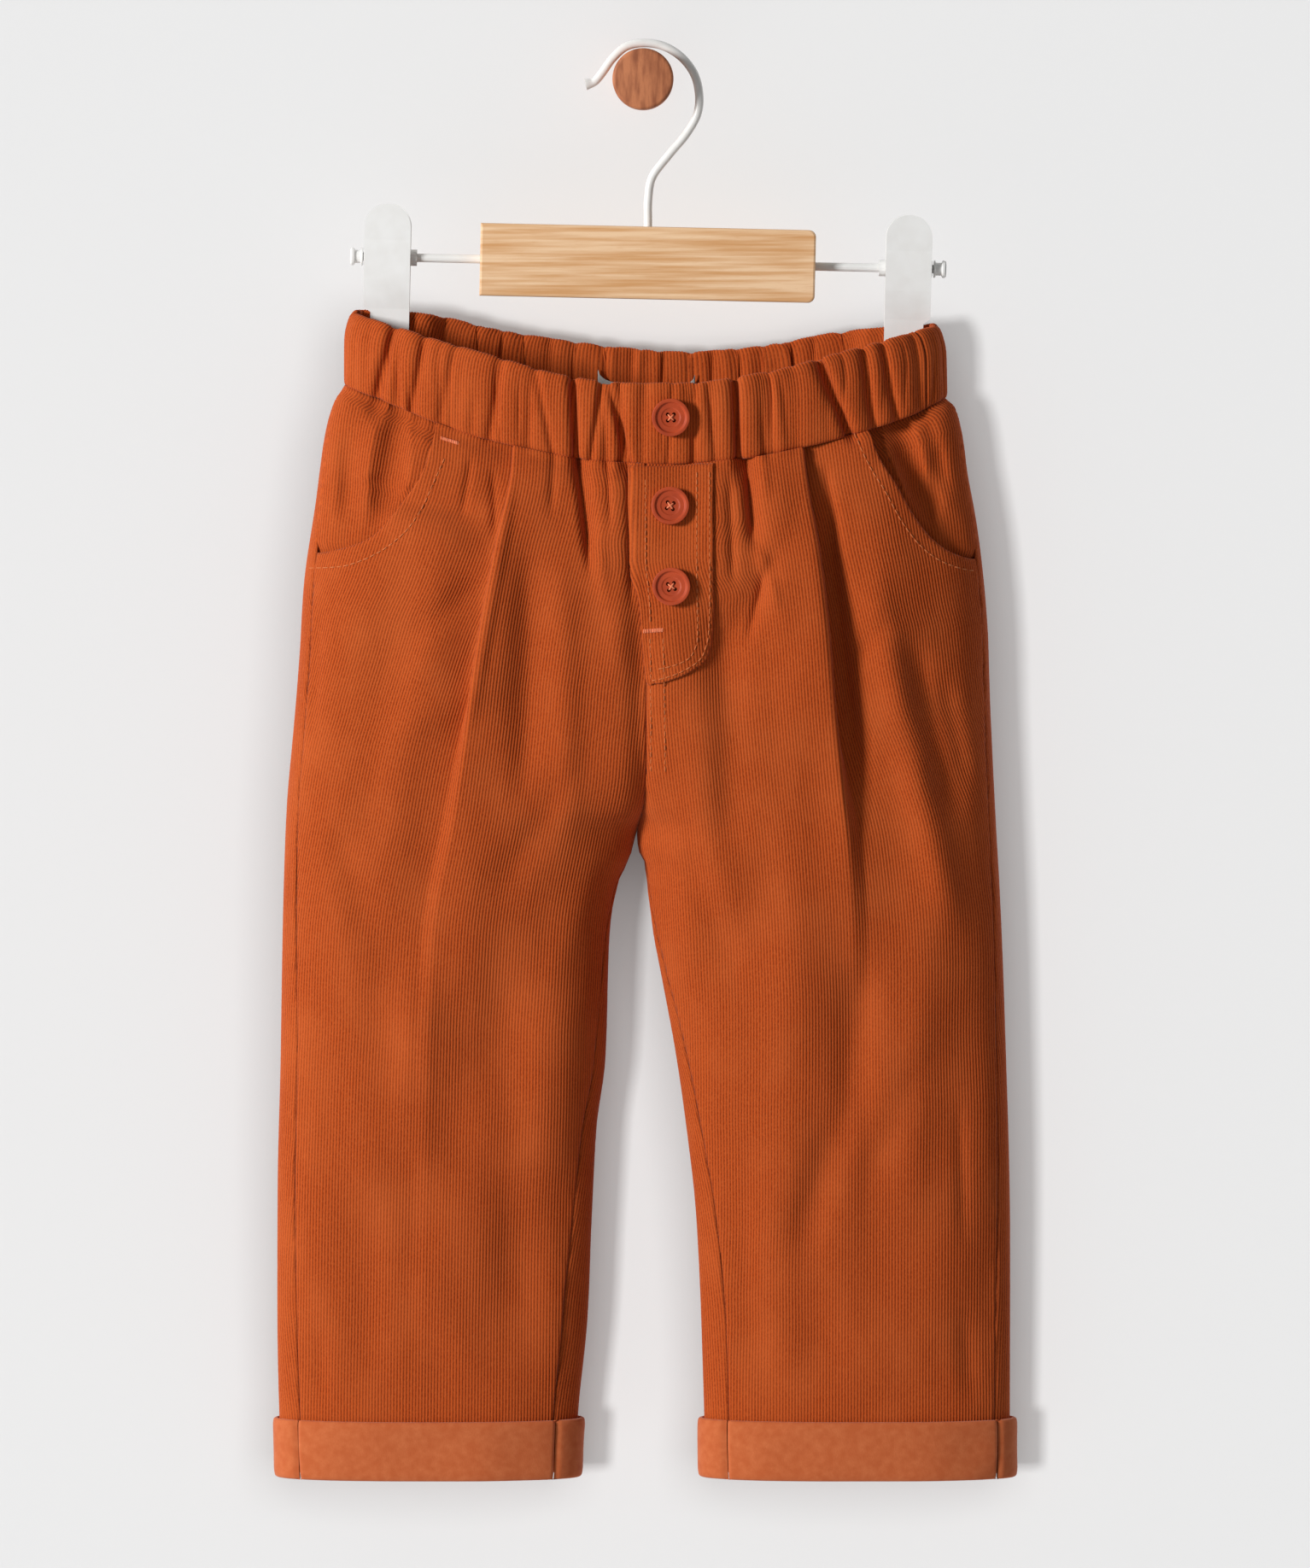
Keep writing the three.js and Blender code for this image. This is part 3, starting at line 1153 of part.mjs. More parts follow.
const hanger = new THREE.Group();
hanger.position.set(HANGER.x, HANGER.y, HANGER.z);
hanger.rotation.y = radians(HANGER.tilt);
trousers.add(hanger);
piece("hanger_bar", hangerBar(), BAR_COLOUR, 0.55, hanger);
const rodGeometry = roundAlongX(WIRE_R, ROD.right + ROD.left, 12).translate((ROD.left - ROD.right) / 2, 0, 0);
piece("hanger_rod", rodGeometry, WHITE_COLOUR, 0.45, hanger);
for (const [side, { sign }] of Object.entries(LEGS)) {
  const along = {
    [`clip_hub_${side}`]: clipHub(sign),
    [`clip_front_${side}`]: clipPlate(-1, sign),
    [`clip_back_${side}`]: clipPlate(1, sign),
  };
  for (const [name, geometry] of Object.entries(along)) {
    piece(name, geometry, WHITE_COLOUR, 0.45, hanger).position.x = sign * CLIP[side];
  }
  const cap = piece(`rod_cap_${side}`, rodCap(), WHITE_COLOUR, 0.45, hanger);
  cap.position.x = sign * (ROD[side] - CAP.length + CAP.wall + SEAM_GAP);
  cap.rotation.z = -sign * (Math.PI / 2);
}
piece("hanger_hook", hangerHook(), WHITE_COLOUR, 0.45);
piece("wall_peg", wallPeg(), PEG_COLOUR, 0.6);

export default trousers;
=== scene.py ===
"""The finished look of a child's needlecord trousers in a clip hanger on a wall peg.

Every cloth piece is worked out from the same named sizes as its solid, in millimetres, on rows
that follow the seams and columns that follow the cord's ribs, so each rib is real geometry.
"Right" and "left" are the wearer's.
"""

import logging
import math
from collections.abc import Callable, Sequence
from dataclasses import dataclass, field
from enum import Enum

import bmesh
import bpy
import numpy as np
from mathutils import Matrix, Vector
from mathutils.bvhtree import BVHTree


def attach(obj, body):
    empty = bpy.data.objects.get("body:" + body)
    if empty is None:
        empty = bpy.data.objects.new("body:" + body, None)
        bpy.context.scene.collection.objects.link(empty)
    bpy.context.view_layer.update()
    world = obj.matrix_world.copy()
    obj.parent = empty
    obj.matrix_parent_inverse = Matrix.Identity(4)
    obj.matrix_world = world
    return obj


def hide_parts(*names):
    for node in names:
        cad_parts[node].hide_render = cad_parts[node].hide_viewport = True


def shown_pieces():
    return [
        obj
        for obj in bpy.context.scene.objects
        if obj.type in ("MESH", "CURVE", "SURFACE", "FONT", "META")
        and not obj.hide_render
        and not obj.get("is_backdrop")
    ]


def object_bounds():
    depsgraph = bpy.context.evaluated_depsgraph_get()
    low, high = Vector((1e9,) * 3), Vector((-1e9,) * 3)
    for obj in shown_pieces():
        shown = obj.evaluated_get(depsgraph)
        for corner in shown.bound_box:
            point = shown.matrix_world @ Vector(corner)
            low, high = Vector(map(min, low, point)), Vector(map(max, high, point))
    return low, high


LOG = logging.getLogger("trousers")
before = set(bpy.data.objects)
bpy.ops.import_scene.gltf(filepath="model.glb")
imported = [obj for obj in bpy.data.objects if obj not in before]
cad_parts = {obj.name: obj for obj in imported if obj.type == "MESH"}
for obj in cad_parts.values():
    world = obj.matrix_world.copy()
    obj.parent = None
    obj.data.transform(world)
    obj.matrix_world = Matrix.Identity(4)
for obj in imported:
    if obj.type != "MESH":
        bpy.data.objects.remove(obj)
MM = 0.001
Table = dict[str, np.ndarray]


def table(names: str, *rows: tuple[float, ...]) -> Table:
    """Turns rows of numbers into named columns.

    Args:
        names: The columns' names, separated by spaces.
        *rows: One row for each place.

    Returns:
        The columns by name.
    """
    return dict(zip(names.split(), np.array(rows, dtype=float).T))


# Driving sizes in millimetres, with Z = 0 at the peg's axis: the walls, the levels and the ribs.
CLOTH = 1.2
BAND = 2.6
HEM_Z = -562.0
CROTCH_Z = -300.0
WAIST_SIDE_Z = -122.0
SAG_REACH = 130.0
BAND_HEIGHT = 31.0
BAND_MIDDLE_X = 0.8
RIB_PITCH = 1.25
RIB_HEIGHT = 0.27

# The band's edges and seams, and the sections of the legs.
FRONT_SEAM = table(
    "x z",
    (-119, -122), (-104, -127.5), (-88, -134), (-69, -140.8), (-45, -146.6), (-18, -151.2),
    (8, -152.5), (40, -150.3), (62, -146.3), (87, -140), (106, -133.8), (120.5, -127),
)
FRONT_TOP = table(
    "x z",
    (-116, -93), (-92, -100.3), (-57, -110.5), (-32, -117.3), (-8, -120.4), (16, -120.4),
    (50, -115.9), (77, -108.8), (117, -98),
)
BACK_SEAM = table(
    "x z",
    (-119, -122), (-78, -128.5), (-39, -135.5), (2, -140), (43, -139), (84, -133), (120.5, -127),
)
BACK_TOP = table(
    "x z",
    (-116, -92), (-92, -93), (-53, -100.8), (-16, -106.2), (16, -108.8), (43, -106.9),
    (84, -100.1), (117, -97.5),
)
CENTRE = table(
    "z x",
    (-110, 1.4), (-270, 1.4), (-287, 0.7), (-300, -2.4),
)
SECTIONS = table(
    "z crest power front back plane pinchFront pinchBack",
    (-122, 0, 2, 29, 17, -43, 0, 0), (-124, 0, 2, 29, 17, -43, 0, 0),
    (-131, 0.04, 2.1, 31.4, 18.6, -43, 0, 0), (-148, 0.1, 2.3, 33.2, 20.5, -43, 0, 0),
    (-190, 0.21, 2.55, 34, 23, -43, 0, 0), (-235, 0.34, 2.65, 32, 24.4, -42.6, 0, 0.1),
    (-265, 0.42, 2.65, 29.6, 24, -42.3, 0.04, 0.36), (-290, 0.48, 2.6, 27.6, 23, -41.8, 0.5, 0.8),
    (-299.9, 0.5, 2.55, 27, 22.5, -41.6, 1, 1), (-307, 0.5, 2.55, 26.6, 22.2, -41.5, 1, 1),
    (-340, 0.5, 2.5, 24.6, 20.6, -40.8, 1, 1), (-400, 0.5, 2.5, 21.6, 18.6, -39.2, 1, 1),
    (-460, 0.5, 2.5, 18.8, 17, -37.2, 1, 1), (-520, 0.5, 2.5, 16.2, 15.6, -35.2, 1, 1),
    (-562, 0.5, 2.5, 15, 15, -34, 1, 1),
)
# Soft folds from one end to the other, each with its height and half width.
FRONT_FOLDS = table(
    "x0 z0 x1 z1 rise width",
    (-25.5, -130, -19, -196, -3.4, 3.2), (-11, -132, -9, -250, 1.8, 5.5),
    (-1, -205, 0.5, -300, -2, 5), (-46, -170, -47, -300, -2.2, 6.5),
    (-33, -175, -29, -310, 1.6, 6), (-112, -164, -60, -173, -2.2, 4.6),
    (-110, -174, -62, -186, 1.6, 6.5), (-97, -195, -112, -330, -2.6, 11),
    (-124, -292, -108, -345, -1.8, 7), (-92, -345, -92, -445, 1.6, 9),
    (-58, -330, -50, -520, -1.6, 10), (-112, -430, -107, -533, -1.2, 8),
    (-130, -500, -128, -536, -1, 3.6), (39, -132, 45.5, -192, -3.2, 3.2),
    (52, -140, 54, -235, 1.6, 7), (60, -176, 33, -228, -1.6, 5.5),
    (32, -190, 34.5, -330, -4, 8.5), (58, -215, 58, -500, 2.4, 11),
    (88, -190, 107, -270, 2.4, 7), (103, -255, 127, -345, 3, 7), (104, -215, 126, -300, -2.6, 6),
    (12, -285, 20, -375, 1.5, 6), (87, -345, 82, -425, -2.4, 7.5), (83, -405, 58, -480, -2.2, 8),
    (112, -350, 106, -470, 1.6, 9), (38, -440, 46, -533, -1.3, 7), (128, -490, 132, -536, -1, 4),
)
FINE_FOLDS = table(
    "x0 z0 x1 z1 rise width",
    (-28, -136, -20.5, -200, -2.6, 1.7), (-23, -140, -14, -215, 1.5, 3),
    (-6.2, -128, -4.6, -214, -2, 1.5), (-15, -138, -12.5, -182, -1.1, 1.4),
    (-35, -138, -36.5, -176, -1, 2), (40.2, -136, 43.6, -186, -2.4, 1.7),
    (50.5, -190, 41, -226, -1.8, 2.2), (45.5, -184, 54, -212, 1.4, 2.6), (47, -138, 48.5, -170, 1, 2.4),
    (34, -150, 36, -205, -1.4, 2.2), (29, -225, 31, -345, 4.5, 12), (-32, -350, -34, -450, 3.5, 12),
    (70, -148, 87.5, -290, -4.2, 4), (-50.5, -150, -70, -262, 1.3, 2.6),
    (-60, -152, -58, -186, -1, 2), (-68, -148, -72, -176, -0.9, 1.8),
    (-58, -196, -98, -226, -1.2, 6), (-52, -236, -104, -262, 1.2, 7), (-128, -206, -132, -262, -1, 2.6),
    (72, -150, 78, -186, -0.8, 2), (100, -214, 82, -232, -1, 4), (118, -232, 130, -286, -1.4, 4),
    (-20, -262, -62, -330, -1.3, 7), (-14, -300, -40, -372, 1.1, 7), (16, -300, 40, -366, -1.2, 6),
    (-120, -352, -62, -400, 1, 8), (-104, -398, -44, -452, -1, 8), (38, -470, 92, -520, -0.9, 7),
    (-96, -470, -60, -528, 0.9, 7), (118, -380, 84, -452, -1, 7), (126, -404, 129, -470, -0.9, 3),
)
FACING_FOLDS = table(
    "x0 z0 x1 z1 rise width",
    (-96, -124, -107, -186, -2.4, 4.4), (-121, -130, -117, -180, -1.2, 4),
    (97, -128, 118, -180, -2.6, 4.4), (121, -140, 112, -184, -1, 4),
)
BACK_FOLDS = table(
    "x0 z0 x1 z1 rise width",
    (-97, -112, -60, -215, -3, 9), (97, -112, 62, -205, -3, 9),
    (-36, -125, -44, -205, -2.4, 5.5), (30, -125, 37, -195, -2.4, 5.5),
    (-12, -200, -72, -262, -2.6, 9), (14, -205, 76, -258, -2.6, 9),
    (-18, -270, -88, -318, -2.2, 8), (20, -272, 92, -325, -2.2, 8),
    (-88, -330, -78, -500, 1.8, 12), (90, -320, 84, -500, 1.8, 12),
    (-118, -400, -112, -530, -1.4, 8), (118, -390, 112, -530, -1.4, 8),
    (-50, -430, -56, -530, -1.2, 7), (50, -420, 56, -530, -1.2, 7),
)
RIPPLES = table(
    "across down turn rise",
    (31, 190, 0.4, 0.18), (-47, 130, 2.1, 0.22), (23, 260, 4.0, 0.12), (67, -110, 1.2, 0.28),
    (-38, 210, 5.2, 0.18),
)
FINE_FACING_FOLDS = table(
    "x0 z0 x1 z1 rise width",
    (-96, -126, -101, -172, -1.3, 3.2), (-106, -128, -112, -168, 1.2, 3.4),
    (-114, -132, -121, -180, -1, 3),
    (-122, -164, -96, -160, -1, 3), (102, -128, 112, -172, -1.3, 3), (112, -130, 124, -168, -1, 2.8),
    (97, -142, 108, -170, 0.9, 3), (124, -140, 130, -178, -0.9, 2.6),
)
FINE_BACK_FOLDS = table(
    "x0 z0 x1 z1 rise width",
    (-48, -122, -50, -176, -2, 1.8), (-17, -124, -19, -184, -2.2, 1.8), (-29, -124, -33, -170, -1.2, 2),
    (20, -124, 23, -188, -2.2, 1.8), (38, -122, 41, -172, -1.6, 1.8), (60, -120, 66, -164, -1.4, 2),
    (-82, -118, -90, -168, -1.6, 2), (-6, -170, -38, -232, 1.2, 6), (8, -176, 44, -236, 1.2, 6),
    (-30, -296, -76, -350, 1.2, 7), (26, -300, 80, -356, 1.2, 7), (-110, -356, -66, -414, -1.1, 8),
    (112, -348, 70, -410, -1.1, 8), (-62, -440, -104, -504, 0.9, 8), (60, -446, 98, -510, 0.9, 8),
)
# Gathers and creases of the band, by their places at its top edge and its seam.
FRONT_GATHERS = table(
    "top seam depth width reach",
    (-108, -111, 0.8, 2.6, 6), (-98.9, -106, 1.8, 2.6, 14), (-96.2, -98.5, 1.4, 2.4, 6),
    (-86.6, -90.7, 1.2, 3, 22), (-72, -75, 0.6, 3, 4), (-57, -61.4, 0.9, 3, 4),
    (-44, -46, 0.7, 2.8, 4), (-28, -26.6, 2.6, 2.4, 18), (-16.4, -14.7, 1.4, 2.4, 6),
    (-9.4, -8, 2.2, 2.2, 10), (1, 0, 0.9, 2.2, 1), (17.5, 21.8, 0.9, 2.6, 3),
    (27, 29, 0.8, 2.4, 3), (36.5, 38, 2.6, 2.4, 16), (47, 49.5, 1, 2.6, 5),
    (58, 61, 0.7, 2.8, 4), (68.5, 82.5, 2.4, 2.6, 8), (87, 92.1, 1.3, 2.6, 22),
    (94.8, 101, 1.1, 2.6, 8), (107, 110.5, 0.9, 2.6, 6),
)
BACK_GATHERS = table(
    "top seam depth width reach",
    (-80.8, -83, 1.8, 2.6, 10), (-67.5, -66, 1.4, 2.6, 8), (-57, -58.5, 1, 2.4, 6),
    (-48.8, -47, 2, 2.6, 14), (-37, -38.5, 1, 2.4, 6), (-27.3, -28.5, 1.8, 2.6, 10),
    (-16, -15, 2.4, 2.4, 14), (-4, -5, 0.8, 2.6, 5), (8, 7, 0.9, 2.6, 5),
    (19.1, 20.5, 2.4, 2.4, 14), (28, 27, 1, 2.4, 6), (37.9, 39, 1.8, 2.6, 12),
    (48.8, 48, 1.4, 2.6, 8), (59, 60.5, 1.8, 2.6, 10), (69, 68, 1, 2.4, 6),
    (79.8, 82, 1.8, 2.6, 10),
)
FRONT_CREASES = table(
    "top seam depth width",
    (-98.9, -106.1, 1.6, 1.9), (-86.6, -92, 1.3, 1.7), (-74.3, -81, 1, 2), (-55.6, -60.7, 1.2, 1.8),
    (-42.6, -35.8, 1.2, 1.7), (-28, -26.6, 2.3, 1.6), (-16.4, -20.5, 1.6, 1.5), (-14, -5.5, 2, 1.6),
    (12, 10, 0.9, 1.6), (21, 20, 1.2, 1.6), (36.5, 37.9, 2.3, 1.6), (50, 52, 1, 1.8),
    (69.9, 81.8, 2.2, 1.7),
    (87, 92, 1.5, 1.7), (94.8, 100.9, 1.5, 1.7),
)
BACK_CREASES = table(
    "top seam depth width",
    (-80.8, -79, 1.5, 2.4), (-67.5, -69, 1.3, 2.2), (-48.8, -50, 1.6, 2.4), (-27.3, -25, 1.4, 2.2),
    (-16, -17, 2, 2.4), (6, 4, 1.1, 2.2), (19.1, 21, 2, 2.4), (37.9, 36, 1.5, 2.2), (48.8, 51, 1.3, 2.2),
    (59, 57, 1.4, 2.4), (79.8, 83, 1.6, 2.5),
)
BAND_HALF = table(
    "down half",
    (0, 114.4), (0.12, 117.3), (0.4, 119.2), (1, 119.6),
)
FLY = table(
    "z free stitched",
    (-152, -4.8, 28), (-190, -5.4, 28), (-209, -1.6, 28), (-222, -0.4, 27), (-230.5, 0.6, 24.6),
    (-236.5, 1.4, 16.5), (-239.6, 1.8, 8), (-240.6, 2, 4.4),
)
CUFF_ROWS = table(
    "down out",
    (0, 2.15), (0.14, 2.65), (0.86, 2.75), (1, 2.25),
)
# Each leg's outline, seams, pleat and pocket mouth, as distances out from x = 0.
RIGHT_OUTER = table(
    "z out",
    (-122, 119.7), (-123.6, 119.9), (-128, 123), (-139, 126.5), (-169, 130.9), (-205, 136),
    (-227, 137.3), (-258, 139.8), (-292, 142.9), (-340, 144.6), (-394, 145.6), (-445, 147),
    (-500, 147.3), (-562, 146),
)
RIGHT_INNER = table(
    "z out",
    (-300, 2.4), (-310.6, 5.1), (-321.6, 10.2), (-340, 13.3), (-394, 15.3), (-421, 18.8),
    (-459, 20.8), (-497, 22.4), (-538, 26.4), (-562, 27.5),
)
LEFT_OUTER = table(
    "z out",
    (-127, 121.1), (-128, 121.4), (-131.5, 124.8), (-140, 127.3), (-158, 129.9), (-179, 133.7),
    (-198, 136.1), (-222, 138.1), (-251, 139.1), (-292, 141.2), (-343, 144), (-394, 145.9),
    (-462, 147.7), (-562, 147.9),
)
LEFT_INNER = table(
    "z out",
    (-300, -2.4), (-307, -2.2), (-314, 0.7), (-329.7, 2.7), (-343.4, 4.4), (-356, 6.8),
    (-387, 12.6), (-411, 16.2), (-459, 21.6), (-513, 24), (-562, 25.4),
)
RIGHT_SEAM_INSETS = table(
    "z side inner",
    (-122, 1.2, 0), (-170, 2.6, 0), (-200, 3.6, 0), (-300, 4.6, 0), (-394, 6.5, 4),
    (-459, 7, 7.2), (-497, 7.6, 9.4), (-562, 8.5, 9),
)
LEFT_SEAM_INSETS = table(
    "z side inner",
    (-122, 1.2, 0), (-200, 2, 0), (-300, 2.6, 0), (-411, 4, 5), (-459, 5, 7.5),
    (-497, 5.6, 9.2), (-562, 6.2, 9.5),
)
RIGHT_PLEATS = table(
    "z nose turn take hollow",
    (-136, 51, 180, 8, 24), (-155, 51.8, 178, 8, 24), (-184, 58, 165, 7, 24),
    (-222, 65.1, 128, 5, 24), (-255, 70, 82, 3.6, 26), (-290, 75.4, 42, 3, 28),
    (-343, 84.6, 20, 3, 28), (-420, 87.5, 8, 3, 26), (-520, 89.5, 3, 3, 20),
    (-562, 90, 1, 3, 20),
)
LEFT_PLEATS = table(
    "z nose turn take hollow",
    (-136, 62.2, 180, 9, 22), (-161, 65.1, 176, 8.5, 23), (-188, 69.9, 158, 8, 25),
    (-220, 73.7, 126, 8, 28), (-252, 76.4, 100, 7.5, 31), (-280, 79.5, 74, 6, 33),
    (-305, 82.6, 40, 4.5, 32), (-345, 85.2, 15, 3.4, 28), (-420, 86, 5, 3, 22),
    (-562, 86, 1, 3, 20),
)
RIGHT_POCKETS = table(
    "z out",
    (-134, 81.6), (-142.2, 83.2), (-156.9, 88), (-168.1, 95.5), (-177, 102.5), (-182.4, 108.5),
    (-186.2, 117.5), (-189, 131), (-189.6, 145),
)
LEFT_POCKETS = table(
    "z out",
    (-136, 88.4), (-150, 93.8), (-161, 100.6), (-173.6, 107.8), (-182.8, 115), (-188.2, 122.4),
    (-191.4, 132), (-192.2, 145),
)

# How folds end, where the cuffs lie, how a pleat bends, and where the clips grip the band.
FOLD_FADE = 0.3
EDGE_FADE = 9.0
HEM_FADE = 24.0
CUFF_TOP_Z = -538.0
CUFF_BOTTOM_Z = -562.4
PLEAT_NOSE = 0.95
PLEAT_ARC = 2.2
PLEAT_LIFT = 0.4
PLEAT_LIFT_REACH = 25.0
PLEAT_TURNS = 16
PATH_STEPS = {"top": 160, "flat": 9, "under": 180, "back": 320}
SEAM_APART = (0.02, 0.15)
SEAM_CLOSING = 1.25
HANGER_X = 1.9
HANGER_Y = -36.0
CLIP_X = {"right": 104.2, "left": 104.4}
CLIP_WIDTH = 18.4
CLIP_RELEASE = 0.12
CLIP_HOLD = {"inner": (5.5, 8.0), "outer": (1.0, 3.0)}
LEFT_SEAM_X = 112.6
RIGHT_SEAM_TURN = 3.2


def ease(value: np.ndarray | float) -> np.ndarray:
    """Rises smoothly from 0 to 1 as the value does."""
    held = np.clip(value, 0, 1)
    return held * held * (3 - 2 * held)


def mix(start: np.ndarray, end: np.ndarray, share: np.ndarray) -> np.ndarray:
    """The place at a share of the way from start to end."""
    return start + (end - start) * share


def cubic(x: np.ndarray, y: np.ndarray, slope: np.ndarray, at: np.ndarray | float) -> np.ndarray:
    """Reads the smooth curve through some points.

    Args:
        x: Where the points are, in rising order.
        y: Their heights.
        slope: The curve's slope at each.
        at: Where to read it.

    Returns:
        The heights there.
    """
    i = np.clip(np.searchsorted(x, at, side="right") - 1, 0, len(x) - 2)
    width = x[i + 1] - x[i]
    t = (at - x[i]) / width
    height = y[i] * (1 + 2 * t) * (1 - t) ** 2 + y[i + 1] * t * t * (3 - 2 * t)
    return height + width * (slope[i] * t * (1 - t) ** 2 - slope[i + 1] * t * t * (1 - t))


class Curve:
    """A smooth curve with no overshoot through two columns of a table."""

    def __init__(self, rows: Table, key: str, column: str) -> None:
        """Works out the slope at each row.

        Args:
            rows: The table.
            key: The column that the curve is read by.
            column: The column that it gives.
        """
        order = np.argsort(rows[key])
        self.x = rows[key][order]
        self.y = rows[column][order]
        step = np.diff(self.x)
        secant = np.diff(self.y) / step
        self.slope = np.zeros_like(self.y)
        self.slope[0] = secant[0]
        self.slope[-1] = secant[-1]
        for i in range(1, len(step)):
            if secant[i - 1] * secant[i] > 0:
                before = 2 * step[i] + step[i - 1]
                after = step[i] + 2 * step[i - 1]
                self.slope[i] = (before + after) / (before / secant[i - 1] + after / secant[i])

    def __call__(self, at: np.ndarray | float) -> np.ndarray:
        """The curve's height at one place or many."""
        return cubic(self.x, self.y, self.slope, np.clip(at, self.x[0], self.x[-1]))


front_seam_z = Curve(FRONT_SEAM, "x", "z")
front_top_z = Curve(FRONT_TOP, "x", "z")
back_seam_z = Curve(BACK_SEAM, "x", "z")
back_top_z = Curve(BACK_TOP, "x", "z")
centre_x = Curve(CENTRE, "z", "x")
band_half = Curve(BAND_HALF, "down", "half")
fly_free = Curve(FLY, "z", "free")
fly_stitched = Curve(FLY, "z", "stitched")
section_at = {name: Curve(SECTIONS, "z", name) for name in SECTIONS if name != "z"}


class Leg:
    """One leg's outline, seams, pleat and pocket mouth."""

    def __init__(self, side: str, sign: int, tables: dict[str, Table]) -> None:
        """Makes the leg's curves.

        Args:
            side: right or left, as the wearer has it.
            sign: -1 where the leg is on the -X side, 1 on the other.
            tables: The leg's outer, inner, inset, pleat and pocket tables.
        """
        self.side = side
        self.sign = sign
        self.outer = Curve(tables["outer"], "z", "out")
        self.inner = Curve(tables["inner"], "z", "out")
        self.side_inset = Curve(tables["inset"], "z", "side")
        self.inner_inset = Curve(tables["inset"], "z", "inner")
        self.nose = Curve(tables["pleat"], "z", "nose")
        self.turn = Curve(tables["pleat"], "z", "turn")
        self.take = Curve(tables["pleat"], "z", "take")
        self.hollow = Curve(tables["pleat"], "z", "hollow")
        self.pocket = Curve(tables["pocket"], "z", "out")
        self.pocket_z = Curve(tables["pocket"], "out", "z")
        self.pocket_end = float(tables["pocket"]["z"][-1])


RIGHT = Leg("right", -1, {"outer": RIGHT_OUTER, "inner": RIGHT_INNER, "inset": RIGHT_SEAM_INSETS,
                          "pleat": RIGHT_PLEATS, "pocket": RIGHT_POCKETS})
LEFT = Leg("left", 1, {"outer": LEFT_OUTER, "inner": LEFT_INNER, "inset": LEFT_SEAM_INSETS,
                       "pleat": LEFT_PLEATS, "pocket": LEFT_POCKETS})
LEGS = (RIGHT, LEFT)


def sag_fade(level: np.ndarray) -> np.ndarray:
    """How far a row still follows the waist seam."""
    return 1 - ease((WAIST_SIDE_Z - level) / SAG_REACH)


def front_z(level: np.ndarray, x: np.ndarray) -> np.ndarray:
    """Height of a front row at x."""
    return level + (front_seam_z(x) - WAIST_SIDE_Z) * sag_fade(level)


def back_z(level: np.ndarray, x: np.ndarray) -> np.ndarray:
    """Height of a back row at x."""
    return level + (back_seam_z(x) - WAIST_SIDE_Z) * sag_fade(level)


def level_at(x: np.ndarray, z: np.ndarray) -> np.ndarray:
    """The row level that passes a place on the front."""
    level = np.array(z, dtype=float)
    for _ in range(40):
        level = level + (z - front_z(level, x)) * 0.6
    return level


class Section:
    """The cross-section of a leg, or of half the seat, at some levels."""

    def __init__(self, leg: Leg, level: np.ndarray, half: str = "Front") -> None:
        """Reads the sizes at the levels.

        Args:
            leg: The leg it belongs to.
            level: The levels, as an array of any shape.
            half: Front or Back, for how the centre seam closes.
        """
        for name, curve in section_at.items():
            setattr(self, name, curve(level))
        side_z = front_z(level, leg.sign * 200.0)
        self.joined = level > CROTCH_Z
        pinch = getattr(self, f"pinch{half}")
        closing = np.where(self.joined, np.clip(SEAM_CLOSING * np.sqrt(pinch), 0, 1), 1)
        apart = np.where(self.joined, SEAM_APART[0] + SEAM_APART[1] * closing, CLOTH / 2)
        self.outer = leg.outer(side_z) - CLOTH / 2
        inner = np.where(self.joined, leg.sign * centre_x(level), leg.inner(level))
        self.inner = inner + apart
        self.crest_out = mix(self.inner, self.outer, self.crest)
        self.side_inset = leg.side_inset(side_z)
        self.inner_inset = leg.inner_inset(level)

    def depth(self, out: np.ndarray, deep: np.ndarray, pinch: np.ndarray) -> np.ndarray:
        """How far the cloth stands from the middle plane.

        Args:
            out: Distance outwards from x = 0.
            deep: The depth at the crest.
            pinch: How far the inner edge has closed.

        Returns:
            The depth at each place.
        """
        outside = out >= self.crest_out
        reach = np.where(outside, self.outer - self.crest_out, self.crest_out - self.inner)
        q = np.minimum(1, np.abs(out - self.crest_out) / reach)
        arch = np.sqrt(np.maximum(0, 1 - q**self.power))
        return deep * np.where(outside, arch, 1 - pinch * (1 - arch))


def folds_rise(folds: Table, x: np.ndarray, z: np.ndarray) -> np.ndarray:
    """Height of all the soft folds at places on the cloth.

    Args:
        folds: The table of folds.
        x: Places across.
        z: Places up.

    Returns:
        The summed height.
    """
    total = np.zeros(np.broadcast(x, z).shape)
    for x0, z0, x1, z1, rise, width in zip(*folds.values()):
        dx, dz = x1 - x0, z1 - z0
        length = math.hypot(dx, dz)
        along = ((x - x0) * dx + (z - z0) * dz) / length
        across = ((x - x0) * dz - (z - z0) * dx) / length
        fade = FOLD_FADE * length
        ends = ease(along / fade) * ease((length - along) / fade)
        total = total + rise * ends * np.exp(-((across / width) ** 2))
    return total


def gather_depth(gathers: Table, x: np.ndarray, down: np.ndarray) -> np.ndarray:
    """Depth of the gathers.

    Args:
        gathers: The table of gathers.
        x: Places across.
        down: 0 at the band's top edge and 1 at the waist seam, and on below it.

    Returns:
        The summed depth.
    """
    below = np.maximum(0, down - 1) * BAND_HEIGHT
    total = np.zeros(np.broadcast(x, down).shape)
    for top, seam, depth, width, reach in zip(*gathers.values()):
        middle = mix(top, seam, np.minimum(down, 1.4))
        valley = np.exp(-(((x - middle) / width) ** 2))
        total = total + depth * valley * (1 - ease(below / reach))
    return total


